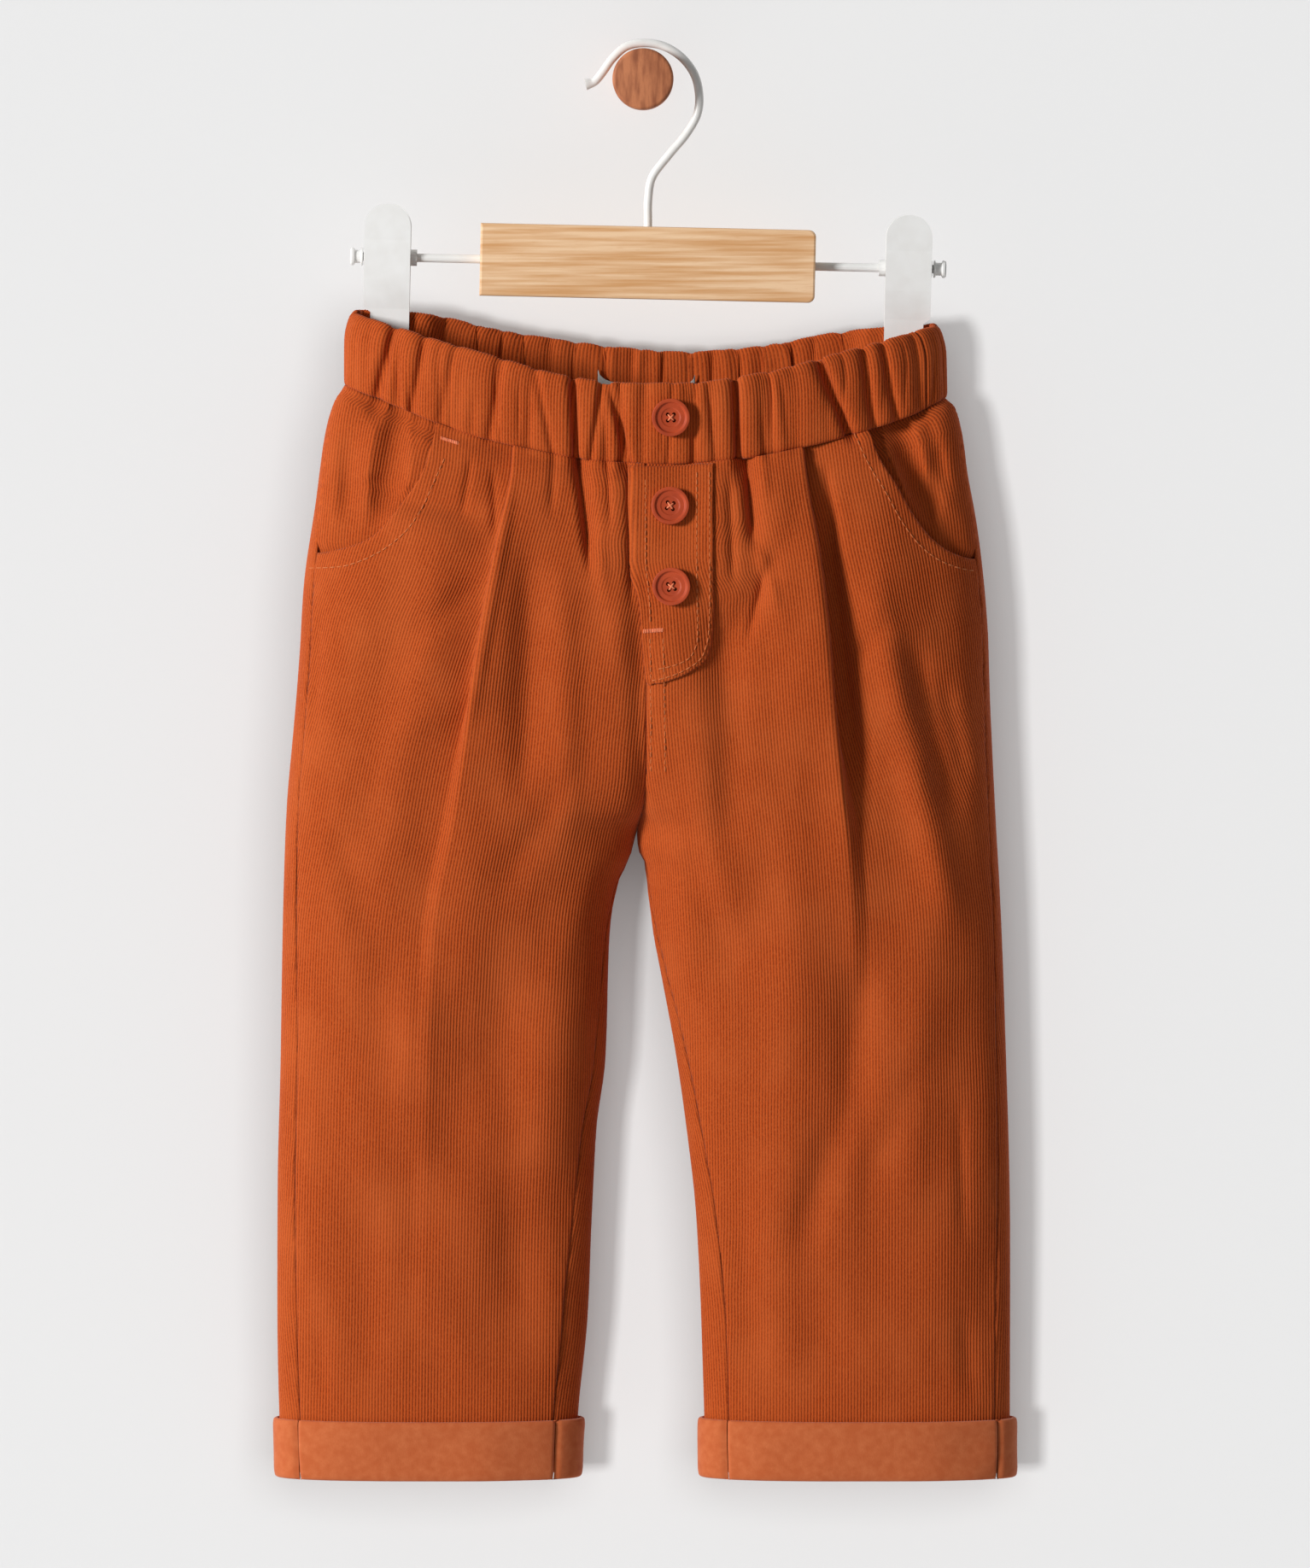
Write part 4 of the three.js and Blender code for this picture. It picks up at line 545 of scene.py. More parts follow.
def relief(folds: Sequence[Table], gathers: Table, seam_z: Curve, x: np.ndarray, z: np.ndarray,
           ) -> np.ndarray:
    """How far folds and gathers lift the cloth.

    Args:
        folds: The soft folds.
        gathers: The gathers that run on below the waist seam.
        seam_z: The waist seam.
        x: Places across.
        z: Places up.

    Returns:
        The lift, outwards.
    """
    down = 1 + (seam_z(x) - z) / BAND_HEIGHT
    hem = ease((z - CUFF_TOP_Z + 3) / HEM_FADE)
    rise = sum(folds_rise(rows, x, z) for rows in folds)
    for across, along, turn, height in zip(*RIPPLES.values()):
        rise = rise + height * np.sin(2 * math.pi * (x / across + z / along) + turn)
    return rise * hem - gather_depth(gathers, x, np.maximum(1, down))


def ring_point(leg: Leg, s: Section, level: np.ndarray, turn: np.ndarray) -> np.ndarray:
    """Points of the closed ring round a leg or half the seat.

    Args:
        leg: The leg.
        s: Its section at the levels.
        level: The levels.
        turn: 0 at the middle back, a quarter turn at the outer edge.

    Returns:
        Points, in a last axis of three.
    """
    sine = np.sin(turn)
    reach = np.where(sine > 0, s.outer - s.crest_out, s.crest_out - s.inner)
    out = s.crest_out + np.sign(sine) * np.abs(sine) ** (2 / s.power) * reach
    x = leg.sign * out
    ahead = np.abs(turn) > math.pi / 2 + 1e-9
    rear_z = back_z(level, x)
    inside = np.where(s.joined, 1, ease((out - s.inner) / EDGE_FADE))
    lift = relief((BACK_FOLDS, FINE_BACK_FOLDS), BACK_GATHERS, back_seam_z, x, rear_z)
    lift = lift * ease((s.outer - out) / EDGE_FADE) * inside
    front_y = s.plane - s.depth(out, s.front, s.pinchFront)
    back_y = s.plane + s.depth(out, s.back, s.pinchBack) + lift
    z = np.where(ahead, front_z(level, x), rear_z)
    return np.stack(np.broadcast_arrays(x, np.where(ahead, front_y, back_y), z), axis=-1)


def seam_turns(leg: Leg, s: Section, level: np.ndarray) -> tuple[np.ndarray, np.ndarray]:
    """The turns of the side seam and of the inseam at some levels."""

    def seam(inset: np.ndarray, reach: np.ndarray) -> np.ndarray:
        share = np.clip(1 - inset / reach, 0, 1) ** (s.power / 2)
        return math.pi - np.arcsin(share)

    side = seam(s.side_inset, s.outer - s.crest_out)
    inner = -seam(s.inner_inset, s.crest_out - s.inner)
    return side, np.where(s.joined, -math.pi / 2, inner)


class FrontPlan:
    """What the rows of a front need at some levels: their ends, their pleat and their skin."""

    def __init__(self, leg: Leg, level: np.ndarray, folds: Sequence[Table] = (FRONT_FOLDS, FINE_FOLDS),
                 ) -> None:
        """Works out the pleat and the ends.

        Args:
            leg: The leg.
            level: The rows' levels.
            folds: The soft folds to lay on the skin.
        """
        self.leg = leg
        self.level = level
        self.folds = folds
        self.s = Section(leg, level)
        side, inner = seam_turns(leg, self.s, level)
        self.side = leg.sign * ring_point(leg, self.s, level, side)[..., 0]
        edge = leg.sign * ring_point(leg, self.s, level, inner)[..., 0]
        self.inner = np.where(self.s.joined, self.s.inner, edge)
        nose = leg.nose(level)
        for _ in range(12):
            nose = leg.nose(front_z(level, leg.sign * nose))
        z = front_z(level, leg.sign * nose)
        self.turn = np.radians(leg.turn(z))
        self.radius = np.maximum(PLEAT_NOSE, PLEAT_ARC / self.turn)
        self.take = leg.take(z)
        self.start = nose - self.radius * np.sin(np.minimum(self.turn, math.pi / 2))
        sine, cosine = np.sin(self.turn), np.cos(self.turn)
        self.drop = 2 * self.radius * (1 - cosine) + self.take * sine
        self.foot = self.start + 2 * self.radius * sine + self.take * cosine
        self.hollow = leg.hollow(z)

    def skin(self, out: np.ndarray) -> np.ndarray:
        """The front of the cloth as y, with no pleat in it."""
        s = self.s
        x = self.leg.sign * out
        inside = np.where(s.joined, 1, ease((out - s.inner) / EDGE_FADE))
        edge = ease((s.outer - out) / EDGE_FADE) * inside
        lift = relief(self.folds, FRONT_GATHERS, front_seam_z, x, front_z(self.level, x))
        return s.plane - s.depth(out, s.front, s.pinchFront) - lift * edge

    def lifted(self, out: np.ndarray) -> np.ndarray:
        """How far the pleat holds the layer over it up."""
        return PLEAT_LIFT * self.drop * ease(1 - (self.start - out) / PLEAT_LIFT_REACH)

    def top(self, out: np.ndarray) -> np.ndarray:
        """The layer that ends in the pleat's folded edge, as y."""
        return self.skin(out) - self.lifted(np.minimum(out, self.start))

    def under(self, out: np.ndarray) -> np.ndarray:
        """The layer that comes out from under the pleat, as y."""
        decay = 1 - ease((out - np.maximum(self.foot, self.start)) / self.hollow)
        held = self.lifted(np.minimum(self.foot, self.start))
        return self.skin(out) + (self.drop - held) * decay

    def points(self, out: np.ndarray, y: np.ndarray) -> np.ndarray:
        """Points on the rows at distances outwards, with their y."""
        x = self.leg.sign * out
        return np.stack(np.broadcast_arrays(x, y, front_z(self.level, x)), axis=-1)


def row_lengths(points: np.ndarray) -> np.ndarray:
    """Length along each row from its first step, measured level."""
    length = np.linalg.norm(np.diff(points[..., :2], axis=1), axis=2)
    return np.concatenate([np.zeros((len(points), 1)), np.cumsum(length, axis=1)], axis=1)


def front_path(leg: Leg, levels: np.ndarray) -> tuple[np.ndarray, int]:
    """The rows of a front from the centre or inseam, through the pleat, to the side seam.

    Args:
        leg: The leg.
        levels: One level a row.

    Returns:
        Points by row and step, and the step where the pleat's folded edge starts.
    """
    level = levels[:, None]
    plan = FrontPlan(leg, level)
    share = np.linspace(0, 1, PATH_STEPS["top"] + 1)[None, :]
    share = mix(share, 1 - np.cos(share * math.pi / 2), 0.7)
    out = mix(plan.inner, plan.start, share)
    parts = [plan.points(out, plan.top(out))]
    angle = plan.turn * np.linspace(0, 1, PLEAT_TURNS + 1)[None, 1:]
    over = plan.start + plan.radius * np.sin(angle)
    parts.append(plan.points(over, plan.top(over) + plan.radius * (1 - np.cos(angle))))
    sine, cosine = np.sin(plan.turn), np.cos(plan.turn)
    flat = plan.take * np.linspace(0, 1, PATH_STEPS["flat"] + 1)[None, 1:]
    out = plan.start + plan.radius * sine + flat * cosine
    parts.append(plan.points(out, plan.top(out) + plan.radius * (1 - cosine) + flat * sine))
    angle = plan.turn * np.linspace(1, 0, PLEAT_TURNS + 1)[None, 1:]
    out = out[:, -1:] + plan.radius * (sine - np.sin(angle))
    dip = plan.radius * (1 - cosine) + plan.take * sine + plan.radius * (np.cos(angle) - cosine)
    parts.append(plan.points(out, plan.top(out) + dip))
    share = np.linspace(0, 1, PATH_STEPS["under"] + 1)[None, 1:]
    share = mix(share, np.sin(share * math.pi / 2), 0.5)
    out = mix(plan.foot, plan.side, share)
    parts.append(plan.points(out, plan.under(out)))
    return np.concatenate(parts, axis=1), PATH_STEPS["top"]


def back_path(leg: Leg, levels: np.ndarray) -> tuple[np.ndarray, int]:
    """The rows of a back from the centre or inseam to the side seam.

    Args:
        leg: The leg.
        levels: One level a row.

    Returns:
        Points by row and step, and the middle step.
    """
    level = levels[:, None]
    s = Section(leg, level, "Back")
    side, inner = seam_turns(leg, s, level)
    turn = mix(inner, side, np.linspace(0, 1, PATH_STEPS["back"] + 1)[None, :])
    return ring_point(leg, s, level, turn), PATH_STEPS["back"] // 2


def band_point(turn: np.ndarray, down: np.ndarray) -> np.ndarray:
    """Points of the waistband's middle surface.

    Args:
        turn: 0 at the middle front, growing to the left side.
        down: 0 at the top edge, 1 at the waist seam.

    Returns:
        Points, in a last axis of three.
    """
    x = BAND_MIDDLE_X + band_half(down) * np.sin(turn)
    depth = np.abs(np.cos(turn))
    flat = np.clip(2.5 * depth, 0, 1)
    plane, front, back = (section_at[name](WAIST_SIDE_Z) for name in ("plane", "front", "back"))
    front_y = plane - front * depth + gather_depth(FRONT_GATHERS, x, down) * flat
    held = np.zeros(np.broadcast(x, down).shape)
    for leg in LEGS:
        outwards = leg.sign * (x - HANGER_X) - CLIP_X[leg.side]
        beyond, fade = (np.where(outwards > 0, outer, inner)
                        for outer, inner in zip(CLIP_HOLD["outer"], CLIP_HOLD["inner"]))
        held = np.maximum(held, 1 - ease((np.abs(outwards) - CLIP_WIDTH / 2 - beyond) / fade))
    gripped = held * ease(depth / CLIP_RELEASE) * (1 - ease((down - 0.6) / 0.4))
    free = plane + back * depth + gather_depth(BACK_GATHERS, x, down) * flat
    back_y = mix(free, HANGER_Y, gripped)
    ahead = np.cos(turn) >= 0
    z = np.where(ahead, mix(front_top_z(x), front_seam_z(x), down),
                 mix(back_top_z(x), back_seam_z(x), down))
    return np.stack(np.broadcast_arrays(x, np.where(ahead, front_y, back_y), z), axis=-1)


def grid_normals(points: np.ndarray) -> np.ndarray:
    """Unit normals of a grid of points, from its rows and columns."""
    across = np.gradient(points, axis=1)
    down = np.gradient(points, axis=0)
    normal = np.cross(down, across)
    return normal / np.maximum(np.linalg.norm(normal, axis=-1, keepdims=True), 1e-9)


def smooth_noise(shape: tuple[int, int], grain: tuple[int, int], seed: int) -> np.ndarray:
    """Soft seeded noise on a grid.

    Args:
        shape: Rows and columns.
        grain: How many rows and columns one patch of the noise spans.
        seed: The seed.

    Returns:
        Noise from about -1 to 1.
    """
    rng = np.random.default_rng(seed)
    rows, columns = (max(2, n // g + 2) for n, g in zip(shape, grain))
    coarse = rng.uniform(-1, 1, (rows, columns))
    at_row = np.linspace(0, rows - 1.001, shape[0])
    at_column = np.linspace(0, columns - 1.001, shape[1])
    r, c = at_row.astype(int)[:, None], at_column.astype(int)[None, :]
    tr, tc = ease(at_row[:, None] - r), ease(at_column[None, :] - c)
    top = mix(coarse[r, c], coarse[r, c + 1], tc)
    return mix(top, mix(coarse[r + 1, c], coarse[r + 1, c + 1], tc), tr)


def make_mesh(name: str, points: np.ndarray, faces: list, shade: dict[str, np.ndarray] | None = None,
              ) -> bpy.types.Object:
    """Makes a smooth mesh object from points in millimetres.

    Args:
        name: The object's name.
        points: The points, one a row.
        faces: Lists of point numbers.
        shade: Numbers for each point that the finish reads, by name.

    Returns:
        The object.
    """
    mesh = bpy.data.meshes.new(name)
    mesh.from_pydata((points * MM).tolist(), [], faces)
    for key, values in (shade or {}).items():
        layer = mesh.attributes.new(key, "FLOAT", "POINT")
        layer.data.foreach_set("value", np.ascontiguousarray(values, dtype=np.float32))
    work = bmesh.new()
    work.from_mesh(mesh)
    bmesh.ops.remove_doubles(work, verts=work.verts, dist=2e-6)
    loose = [v for v in work.verts if not v.link_faces]
    bmesh.ops.delete(work, geom=loose, context="VERTS")
    work.to_mesh(mesh)
    work.free()
    mesh.shade_smooth()
    piece = bpy.data.objects.new(name, mesh)
    bpy.context.collection.objects.link(piece)
    return piece


class Shader:
    """A material while its nodes are being joined."""

    def __init__(self, name: str) -> None:
        """Starts the material."""
        self.material = bpy.data.materials.new(name)
        self.material.use_nodes = True
        self.tree = self.material.node_tree
        self.surface = self.tree.nodes["Principled BSDF"]

    def add(self, kind: str, settings: dict | None = None, values: dict | None = None,
            links: dict | None = None) -> bpy.types.Node:
        """Adds a node.

        Args:
            kind: The node's type, without its "ShaderNode".
            settings: Its own settings.
            values: Values for its inputs.
            links: Outputs that its inputs read.

        Returns:
            The node.
        """
        node = self.tree.nodes.new(f"ShaderNode{kind}")
        for key, value in (settings or {}).items():
            setattr(node, key, value)
        for key, value in (values or {}).items():
            node.inputs[key].default_value = value
        for key, output in (links or {}).items():
            self.tree.links.new(output, node.inputs[key])
        return node

    def noise(self, size: float, detail: float = 2.0, stretch: tuple[float, float, float] = (1, 1, 1),
              ) -> bpy.types.NodeSocket:
        """Noise whose patches have a real size.

        Args:
            size: The patches' size in millimetres.
            detail: How much finer detail it carries.
            stretch: How much longer a patch is along each axis.

        Returns:
            The noise.
        """
        place = self.add("TexCoord").outputs["Object"]
        scale = tuple(1 / (size * MM * s) for s in stretch)
        scaled = self.add("Mapping", values={"Scale": scale}, links={"Vector": place})
        node = self.add("TexNoise", values={"Scale": 1.0, "Detail": detail},
                        links={"Vector": scaled.outputs["Vector"]})
        return node.outputs["Fac"]

    def span(self, value: bpy.types.NodeSocket, low: float, high: float, start: float = 0.0,
             end: float = 1.0) -> bpy.types.NodeSocket:
        """Maps a value from low..high onto start..end."""
        values = {"From Min": low, "From Max": high, "To Min": start, "To Max": end}
        return self.add("MapRange", values=values, links={"Value": value}).outputs["Result"]

    def blend(self, share: bpy.types.NodeSocket, start: object, end: object) -> bpy.types.NodeSocket:
        """Mixes two colours, each a #RRGGBB name or an output.

        Args:
            share: How much of the second there is.
            start: The first colour.
            end: The second colour.

        Returns:
            The mixed colour.
        """
        values, links = {}, {0: share}
        for key, colour in ((6, start), (7, end)):
            if isinstance(colour, str):
                values[key] = linear(colour)
            else:
                links[key] = colour
        return self.add("Mix", {"data_type": "RGBA"}, values, links).outputs[2]

    def bump(self, height: bpy.types.NodeSocket, distance: float, strength: float = 1.0) -> None:
        """Lets a height show in the surface's shading.

        Args:
            height: The height.
            distance: How deep its full span is, in millimetres.
            strength: How strongly it shows.
        """
        node = self.add("Bump", values={"Distance": distance * MM, "Strength": strength},
                        links={"Height": height})
        self.tree.links.new(node.outputs["Normal"], self.surface.inputs["Normal"])

    def finish(self, colour: object, **values: float) -> bpy.types.Material:
        """Sets the surface's colour and plain values.

        Args:
            colour: A #RRGGBB name or an output.
            **values: Input names, with _ for each space.

        Returns:
            The material.
        """
        if isinstance(colour, str):
            self.surface.inputs["Base Color"].default_value = linear(colour)
        else:
            self.tree.links.new(colour, self.surface.inputs["Base Color"])
        for key, value in values.items():
            self.surface.inputs[key.replace("_", " ")].default_value = value
        return self.material


def linear(colour: str) -> tuple[float, float, float, float]:
    """A #RRGGBB colour as linear light."""
    parts = [int(colour[i:i + 2], 16) / 255 for i in (1, 3, 5)]
    light = [c / 12.92 if c <= 0.04045 else ((c + 0.055) / 1.055) ** 2.4 for c in parts]
    return (*light, 1.0)


class Finish:
    """A named surface that is made once."""

    name: str
    slot: str

    def make(self) -> bpy.types.Material:
        """Joins the material's nodes."""
        raise NotImplementedError

    def material(self) -> bpy.types.Material:
        """The material, made at its first use."""
        return bpy.data.materials.get(self.name) or self.make()


@dataclass(frozen=True)
class CordFinish(Finish):
    """Needlecord: matt pile on the ribs, shade painted darker into the grooves, and soft uneven wear."""

    name: str = "needlecord"
    slot: str = "cord"
    ridge: str = "#C05019"
    # Painted shade: the darker colour laid into the grooves between the ribs.
    groove_shade: str = "#74280A"
    worn: str = "#C6602C"
    patch: float = 22.0
    pile: float = 0.42

    def make(self) -> bpy.types.Material:
        """Gives the eye painted shade in the grooves, a pile that catches light, and faded patches."""
        shader = Shader(self.name)
        rib = shader.add("Attribute", {"attribute_name": "rib"}).outputs["Fac"]
        wear = shader.noise(self.patch, 3, (1, 1, 1.6))
        pile = shader.noise(self.pile, 2, (1, 1, 2))
        # Painted shade: the grooves get the darker colour where the rib attribute is low.
        colour = shader.blend(shader.span(rib, 0.0, 0.95), self.groove_shade, self.ridge)
        faded = shader.span(wear, 0.45, 0.75, 0, 0.4)
        colour = shader.blend(faded, colour, self.worn)
        colour = shader.blend(shader.span(pile, 0.4, 0.7, 0.0, 0.5), colour, self.worn)
        shader.bump(pile, 0.12, 0.9)
        return shader.finish(colour, Roughness=0.9, Sheen_Weight=0.12, Sheen_Roughness=0.4,
                             Specular_IOR_Level=0.15)


@dataclass(frozen=True)
class SmoothCloth(Finish):
    """The cord's smooth reverse: a flat, slightly paler fine weave."""

    name: str = "smooth_face"
    slot: str = "cuff_cloth"
    base: str = "#C96C3E"
    shade: str = "#BE5E31"

    def make(self) -> bpy.types.Material:
        """Gives the eye a fine flat weave with soft mottling."""
        shader = Shader(self.name)
        mottle = shader.noise(3.5, 3)
        weave = shader.noise(0.5, 2, (1, 1, 1.8))
        colour = shader.blend(shader.span(mottle, 0.35, 0.7), self.shade, self.base)
        colour = shader.blend(shader.span(weave, 0.4, 0.7, 0, 0.35), colour, self.shade)
        shader.bump(weave, 0.1, 0.6)
        return shader.finish(colour, Roughness=0.92, Sheen_Weight=0.15, Specular_IOR_Level=0.2)


@dataclass(frozen=True)
class PlainFinish(Finish):
    """A hard or thready surface with slight mottling."""

    name: str
    slot: str
    base: str
    shade: str
    roughness: float = 0.4
    size: float = 6.0
    depth: float = 0.02
    specular: float = 0.5

    def make(self) -> bpy.types.Material:
        """Gives the eye a moulded or spun surface that is not quite even."""
        shader = Shader(self.name)
        mottle = shader.noise(self.size, 3)
        colour = shader.blend(shader.span(mottle, 0.3, 0.7), self.shade, self.base)
        shader.bump(mottle, self.depth, 0.5)
        return shader.finish(colour, Roughness=self.roughness, Specular_IOR_Level=self.specular)


@dataclass(frozen=True)
class WoodFinish(Finish):
    """Wood with its grain along one axis."""

    name: str
    slot: str
    base: str
    grain: str
    along: tuple[float, float, float]
    roughness: float = 0.5

    def make(self) -> bpy.types.Material:
        """Gives the eye long uneven grain lines with fine pores in them."""
        shader = Shader(self.name)
        lines = shader.noise(2.2, 4, self.along)
        pores = shader.noise(0.5, 2, tuple(1 + (a - 1) * 0.5 for a in self.along))
        colour = shader.blend(shader.span(lines, 0.38, 0.68), self.base, self.grain)
        colour = shader.blend(shader.span(pores, 0.58, 0.75, 0, 0.35), colour, self.grain)
        shader.bump(lines, 0.05, 0.4)
        return shader.finish(colour, Roughness=self.roughness, Specular_IOR_Level=0.25)


CORD = CordFinish()
SMOOTH = SmoothCloth()
THREAD = PlainFinish("sewing_thread", "cord", "#D07A4A", "#B85F30", 0.75, 0.6, 0.05, 0.2)
TACK_THREAD = PlainFinish("tack_thread", "cord", "#F0906A", "#E07A50", 0.75, 0.6, 0.05, 0.2)
BUTTON_FACE = PlainFinish("button_resin", "button_plastic", "#BC4A24", "#AA4020", 0.5, 5, 0.01, 0.3)
WHITE = PlainFinish("white_moulding", "white_plastic", "#F5F5F3", "#EEEDEA", 0.42, 9, 0.01, 0.35)
WIRE = PlainFinish("coated_wire", "white_wire", "#F6F5F2", "#EFEDE9", 0.35, 4, 0.01, 0.6)
LABEL_CLOTH = PlainFinish("label_weave", "label_cloth", "#B4B2AF", "#9E9C99", 0.85, 0.6, 0.08, 0.2)
BAR_WOOD = WoodFinish("bar_grain", "pale_wood", "#F5CFA6", "#D9A26C", (22, 1.4, 0.8), 0.48)
PEG_WOOD = WoodFinish("peg_end_grain", "peg_wood", "#C47C54", "#96573A", (1.0, 14, 5.0), 0.6)


def select_only(piece: bpy.types.Object) -> None:
    """Selects one object alone and makes it the active one."""
    bpy.ops.object.select_all(action="DESELECT")
    bpy.context.view_layer.objects.active = piece
    piece.select_set(True)


def select_faces(piece: bpy.types.Object, way: tuple[float, float, float]) -> None:
    """Enters edit mode with the faces selected that look a given way."""
    bpy.ops.object.mode_set(mode="EDIT")
    bpy.ops.mesh.select_mode(type="FACE")
    work = bmesh.from_edit_mesh(piece.data)
    for face in work.faces:
        face.select_set(face.normal.dot(Vector(way)) > 0.9)
    bmesh.update_edit_mesh(piece.data)


def declare(piece: bpy.types.Object, finish: Finish, *nodes: str) -> None:
    """Gives a piece its finish, hangs it on the root body and hides the solids that it stands for."""
    piece.data.materials.append(finish.material())
    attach(piece, "root")
    if nodes:
        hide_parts(*nodes)


def apply_modifier(piece: bpy.types.Object, kind: str, **settings: object) -> None:
    """Adds a modifier with its settings and applies it."""
    select_only(piece)
    modifier = piece.modifiers.new(kind.title(), kind)
    for key, value in settings.items():
        setattr(modifier, key, value)
    bpy.ops.object.modifier_apply(modifier=modifier.name)


def grid_faces(rows: int, columns: int, keep: Callable[[int, int], bool] | None = None) -> list:
    """Quads between the points of a grid.

    Args:
        rows: How many rows.
        columns: How many columns.
        keep: Says whether the quad at a row and column is kept.

    Returns:
        The quads.
    """
    return [
        (r * columns + c, r * columns + c + 1, (r + 1) * columns + c + 1, (r + 1) * columns + c)
        for r in range(rows - 1)
        for c in range(columns - 1)
        if keep is None or keep(r, c)
    ]


@dataclass(frozen=True)
class CordWeave:
    """How the cord's ribs are laid on a piece: each tuck has its depth and width, and puckers of
    the cloth along a seam have their depth, their distance from it and their width."""

    per_rib: int = 4
    pitch: float = RIB_PITCH
    height: float = RIB_HEIGHT
    seed: int = 1
    unevenness: float = 0.22
    edge_fade: float = 0.5
    seam_tuck: tuple[float, float] = (0.3, 0.55)
    end_tuck: tuple[float, float] = (0.5, 0.7)
    pucker: tuple[float, float, float] = (0.3, 1.6, 1.5)

    def profile(self, column: np.ndarray) -> np.ndarray:
        """How high each column stands in its rib, from 0 low between two ribs to 1; the cord's finish
        paints shade where it is low.
        """
        phase = (column % self.per_rib) / self.per_rib
        return np.sin(math.pi * phase) ** 1.2

    @staticmethod
    def cut(points: np.ndarray, facing: np.ndarray, below: np.ndarray, leg: Leg) -> np.ndarray:
        """Trims the columns at the pocket mouth, with a point of each on the mouth's edge.

        Args:
            points: Points by row and column.
            facing: The way that they face.
            below: Length down each column.
            leg: The leg whose pocket mouth it is.

        Returns:
            The first row that each column keeps.
        """
        first = np.zeros(points.shape[1], dtype=int)
        out = leg.sign * points[..., 0]
        edge = np.where(out > leg.pocket_z.x[0], leg.pocket_z(out), 1000.0)
        above = points[..., 2] - edge
        for c in range(points.shape[1]):
            over = np.flatnonzero(above[:, c] > 0)
            if len(over) == 0 or over[-1] + 1 >= len(points):
                continue
            r = over[-1]
            share = above[r, c] / (above[r, c] - above[r + 1, c])
            for grid in (points, facing, below):
                grid[r, c] = mix(grid[r, c], grid[r + 1, c], share)
            below[:, c] -= below[r, c]
            first[c] = r
        return first

    def lay(self, name: str, path: np.ndarray, anchor: int, offset: float = CLOTH / 2,
            flip: bool = False, mouth: Leg | None = None) -> bpy.types.Object:
        """Resamples rows onto columns at even lengths along the cloth and raises the ribs.

        Args:
            name: The piece's name.
            path: Points by row and step, on the cloth's middle surface.
            anchor: The step that the columns are counted from.
            offset: How far the outer face stands out of the middle surface.
            flip: Turns the outside over.
            mouth: The leg whose pocket mouth is cut out.

        Returns:
            The piece.
        """
        along = row_lengths(path)
        along -= along[:, anchor:anchor + 1]
        step = self.pitch / self.per_rib
        first = int(math.floor(along.min() / step))
        last = int(math.ceil(along.max() / step))
        column = np.arange(first, last + 1)
        wanted = column * step
        normal = grid_normals(path) * (-1 if flip else 1)
        rows, count = len(path), len(column)
        points = np.empty((rows, count, 3))
        facing = np.empty((rows, count, 3))
        edge = np.empty((rows, count))
        for r in range(rows):
            for k in range(3):
                points[r, :, k] = np.interp(wanted, along[r], path[r, :, k])
                facing[r, :, k] = np.interp(wanted, along[r], normal[r, :, k])
            edge[r] = np.minimum(wanted - along[r, 0], along[r, -1] - wanted)
        facing /= np.maximum(np.linalg.norm(facing, axis=2, keepdims=True), 1e-9)
        rib = self.profile(column)[None, :] * ease(edge / self.edge_fade)
        wear = smooth_noise((rows, count), (6, 3 * self.per_rib), self.seed)
        fall = np.linalg.norm(np.diff(points, axis=0), axis=2)
        below = np.concatenate([np.zeros((1, count)), np.cumsum(fall, axis=0)], axis=0)
        top = self.cut(points, facing, below, mouth) if mouth else np.zeros(count, dtype=int)
        kept = np.arange(rows)[:, None] >= top[None, :]
        height = self.height * (1 + self.unevenness * wear)
        near = np.maximum(edge, 0)
        depth, width = self.seam_tuck
        drop = depth * np.exp(-((near / width) ** 2))
        depth, width = self.end_tuck
        for end in (below, below[-1:] - below):
            drop = drop + depth * np.exp(-((end / width) ** 2))
        puckers = smooth_noise((rows, 3), (1, 1), self.seed + 5)[:, :1]
        depth, inwards, width = self.pucker
        drop = drop + depth * puckers * np.exp(-(((near - inwards) / width) ** 2))
        points = points + facing * (offset - self.height * 0.5 + height * rib - drop)[..., None]
        beyond = (edge[:, 1:] < 0) & (edge[:, :-1] < 0)
        gone = beyond[1:] & beyond[:-1]
        kept = kept.ravel()
        quads = grid_faces(rows, count, lambda r, c: not gone[r, c])
        faces = [[i for i in face if kept[i]] for face in quads]
        faces = [face for face in faces if len(face) > 2]
        if not flip:
            faces = [face[::-1] for face in faces]
        # The rib attribute also tells the finish where to paint shade in the grooves.
        return make_mesh(name, points.reshape(-1, 3), faces, {"rib": rib.ravel()})


def cord_edge(piece: bpy.types.Object, thickness: float = 1.0) -> None:
    """Gives the open edges of a cloth piece their thickness."""
    apply_modifier(piece, "SOLIDIFY", thickness=thickness * MM, offset=-1.0, use_rim=True,
                   use_rim_only=True)


class Hold(Enum):
    """How a cloth piece is held."""

    HUNG = "hung"
    GATHERED = "gathered"
    FOLDED = "folded"


def dress_cloth(piece: bpy.types.Object, finish: Finish, node: str,
                hold: Hold) -> bpy.types.Object:
    """Args:
        piece: The piece.
        finish: Its finish.
        node: The solid that it stands for.
        hold: How it is held.

    Returns:
        The piece.
    """
    if hold is Hold.HUNG:
        cord_edge(piece)
    declare(piece, finish, node)
    LOG.info("%s: %d faces", piece.name, len(piece.data.polygons))
    return piece


def row_levels(*stretches: tuple[float, int]) -> np.ndarray:
    """Levels from the waist seam down.

    Args:
        *stretches: Pairs of where a stretch ends and how many steps it has.

    Returns:
        The levels.
    """
    levels = [WAIST_SIDE_Z - 0.3]
    for end, steps in stretches:
        levels.extend(np.linspace(levels[-1], end, steps + 1)[1:])
    return np.array(levels)


PANEL_LEVELS = row_levels((-123.6, 4), (-127, 4), (-140, 7), (-200, 30), (-320, 34), (-440, 22),
                          (HEM_Z + 3, 18))


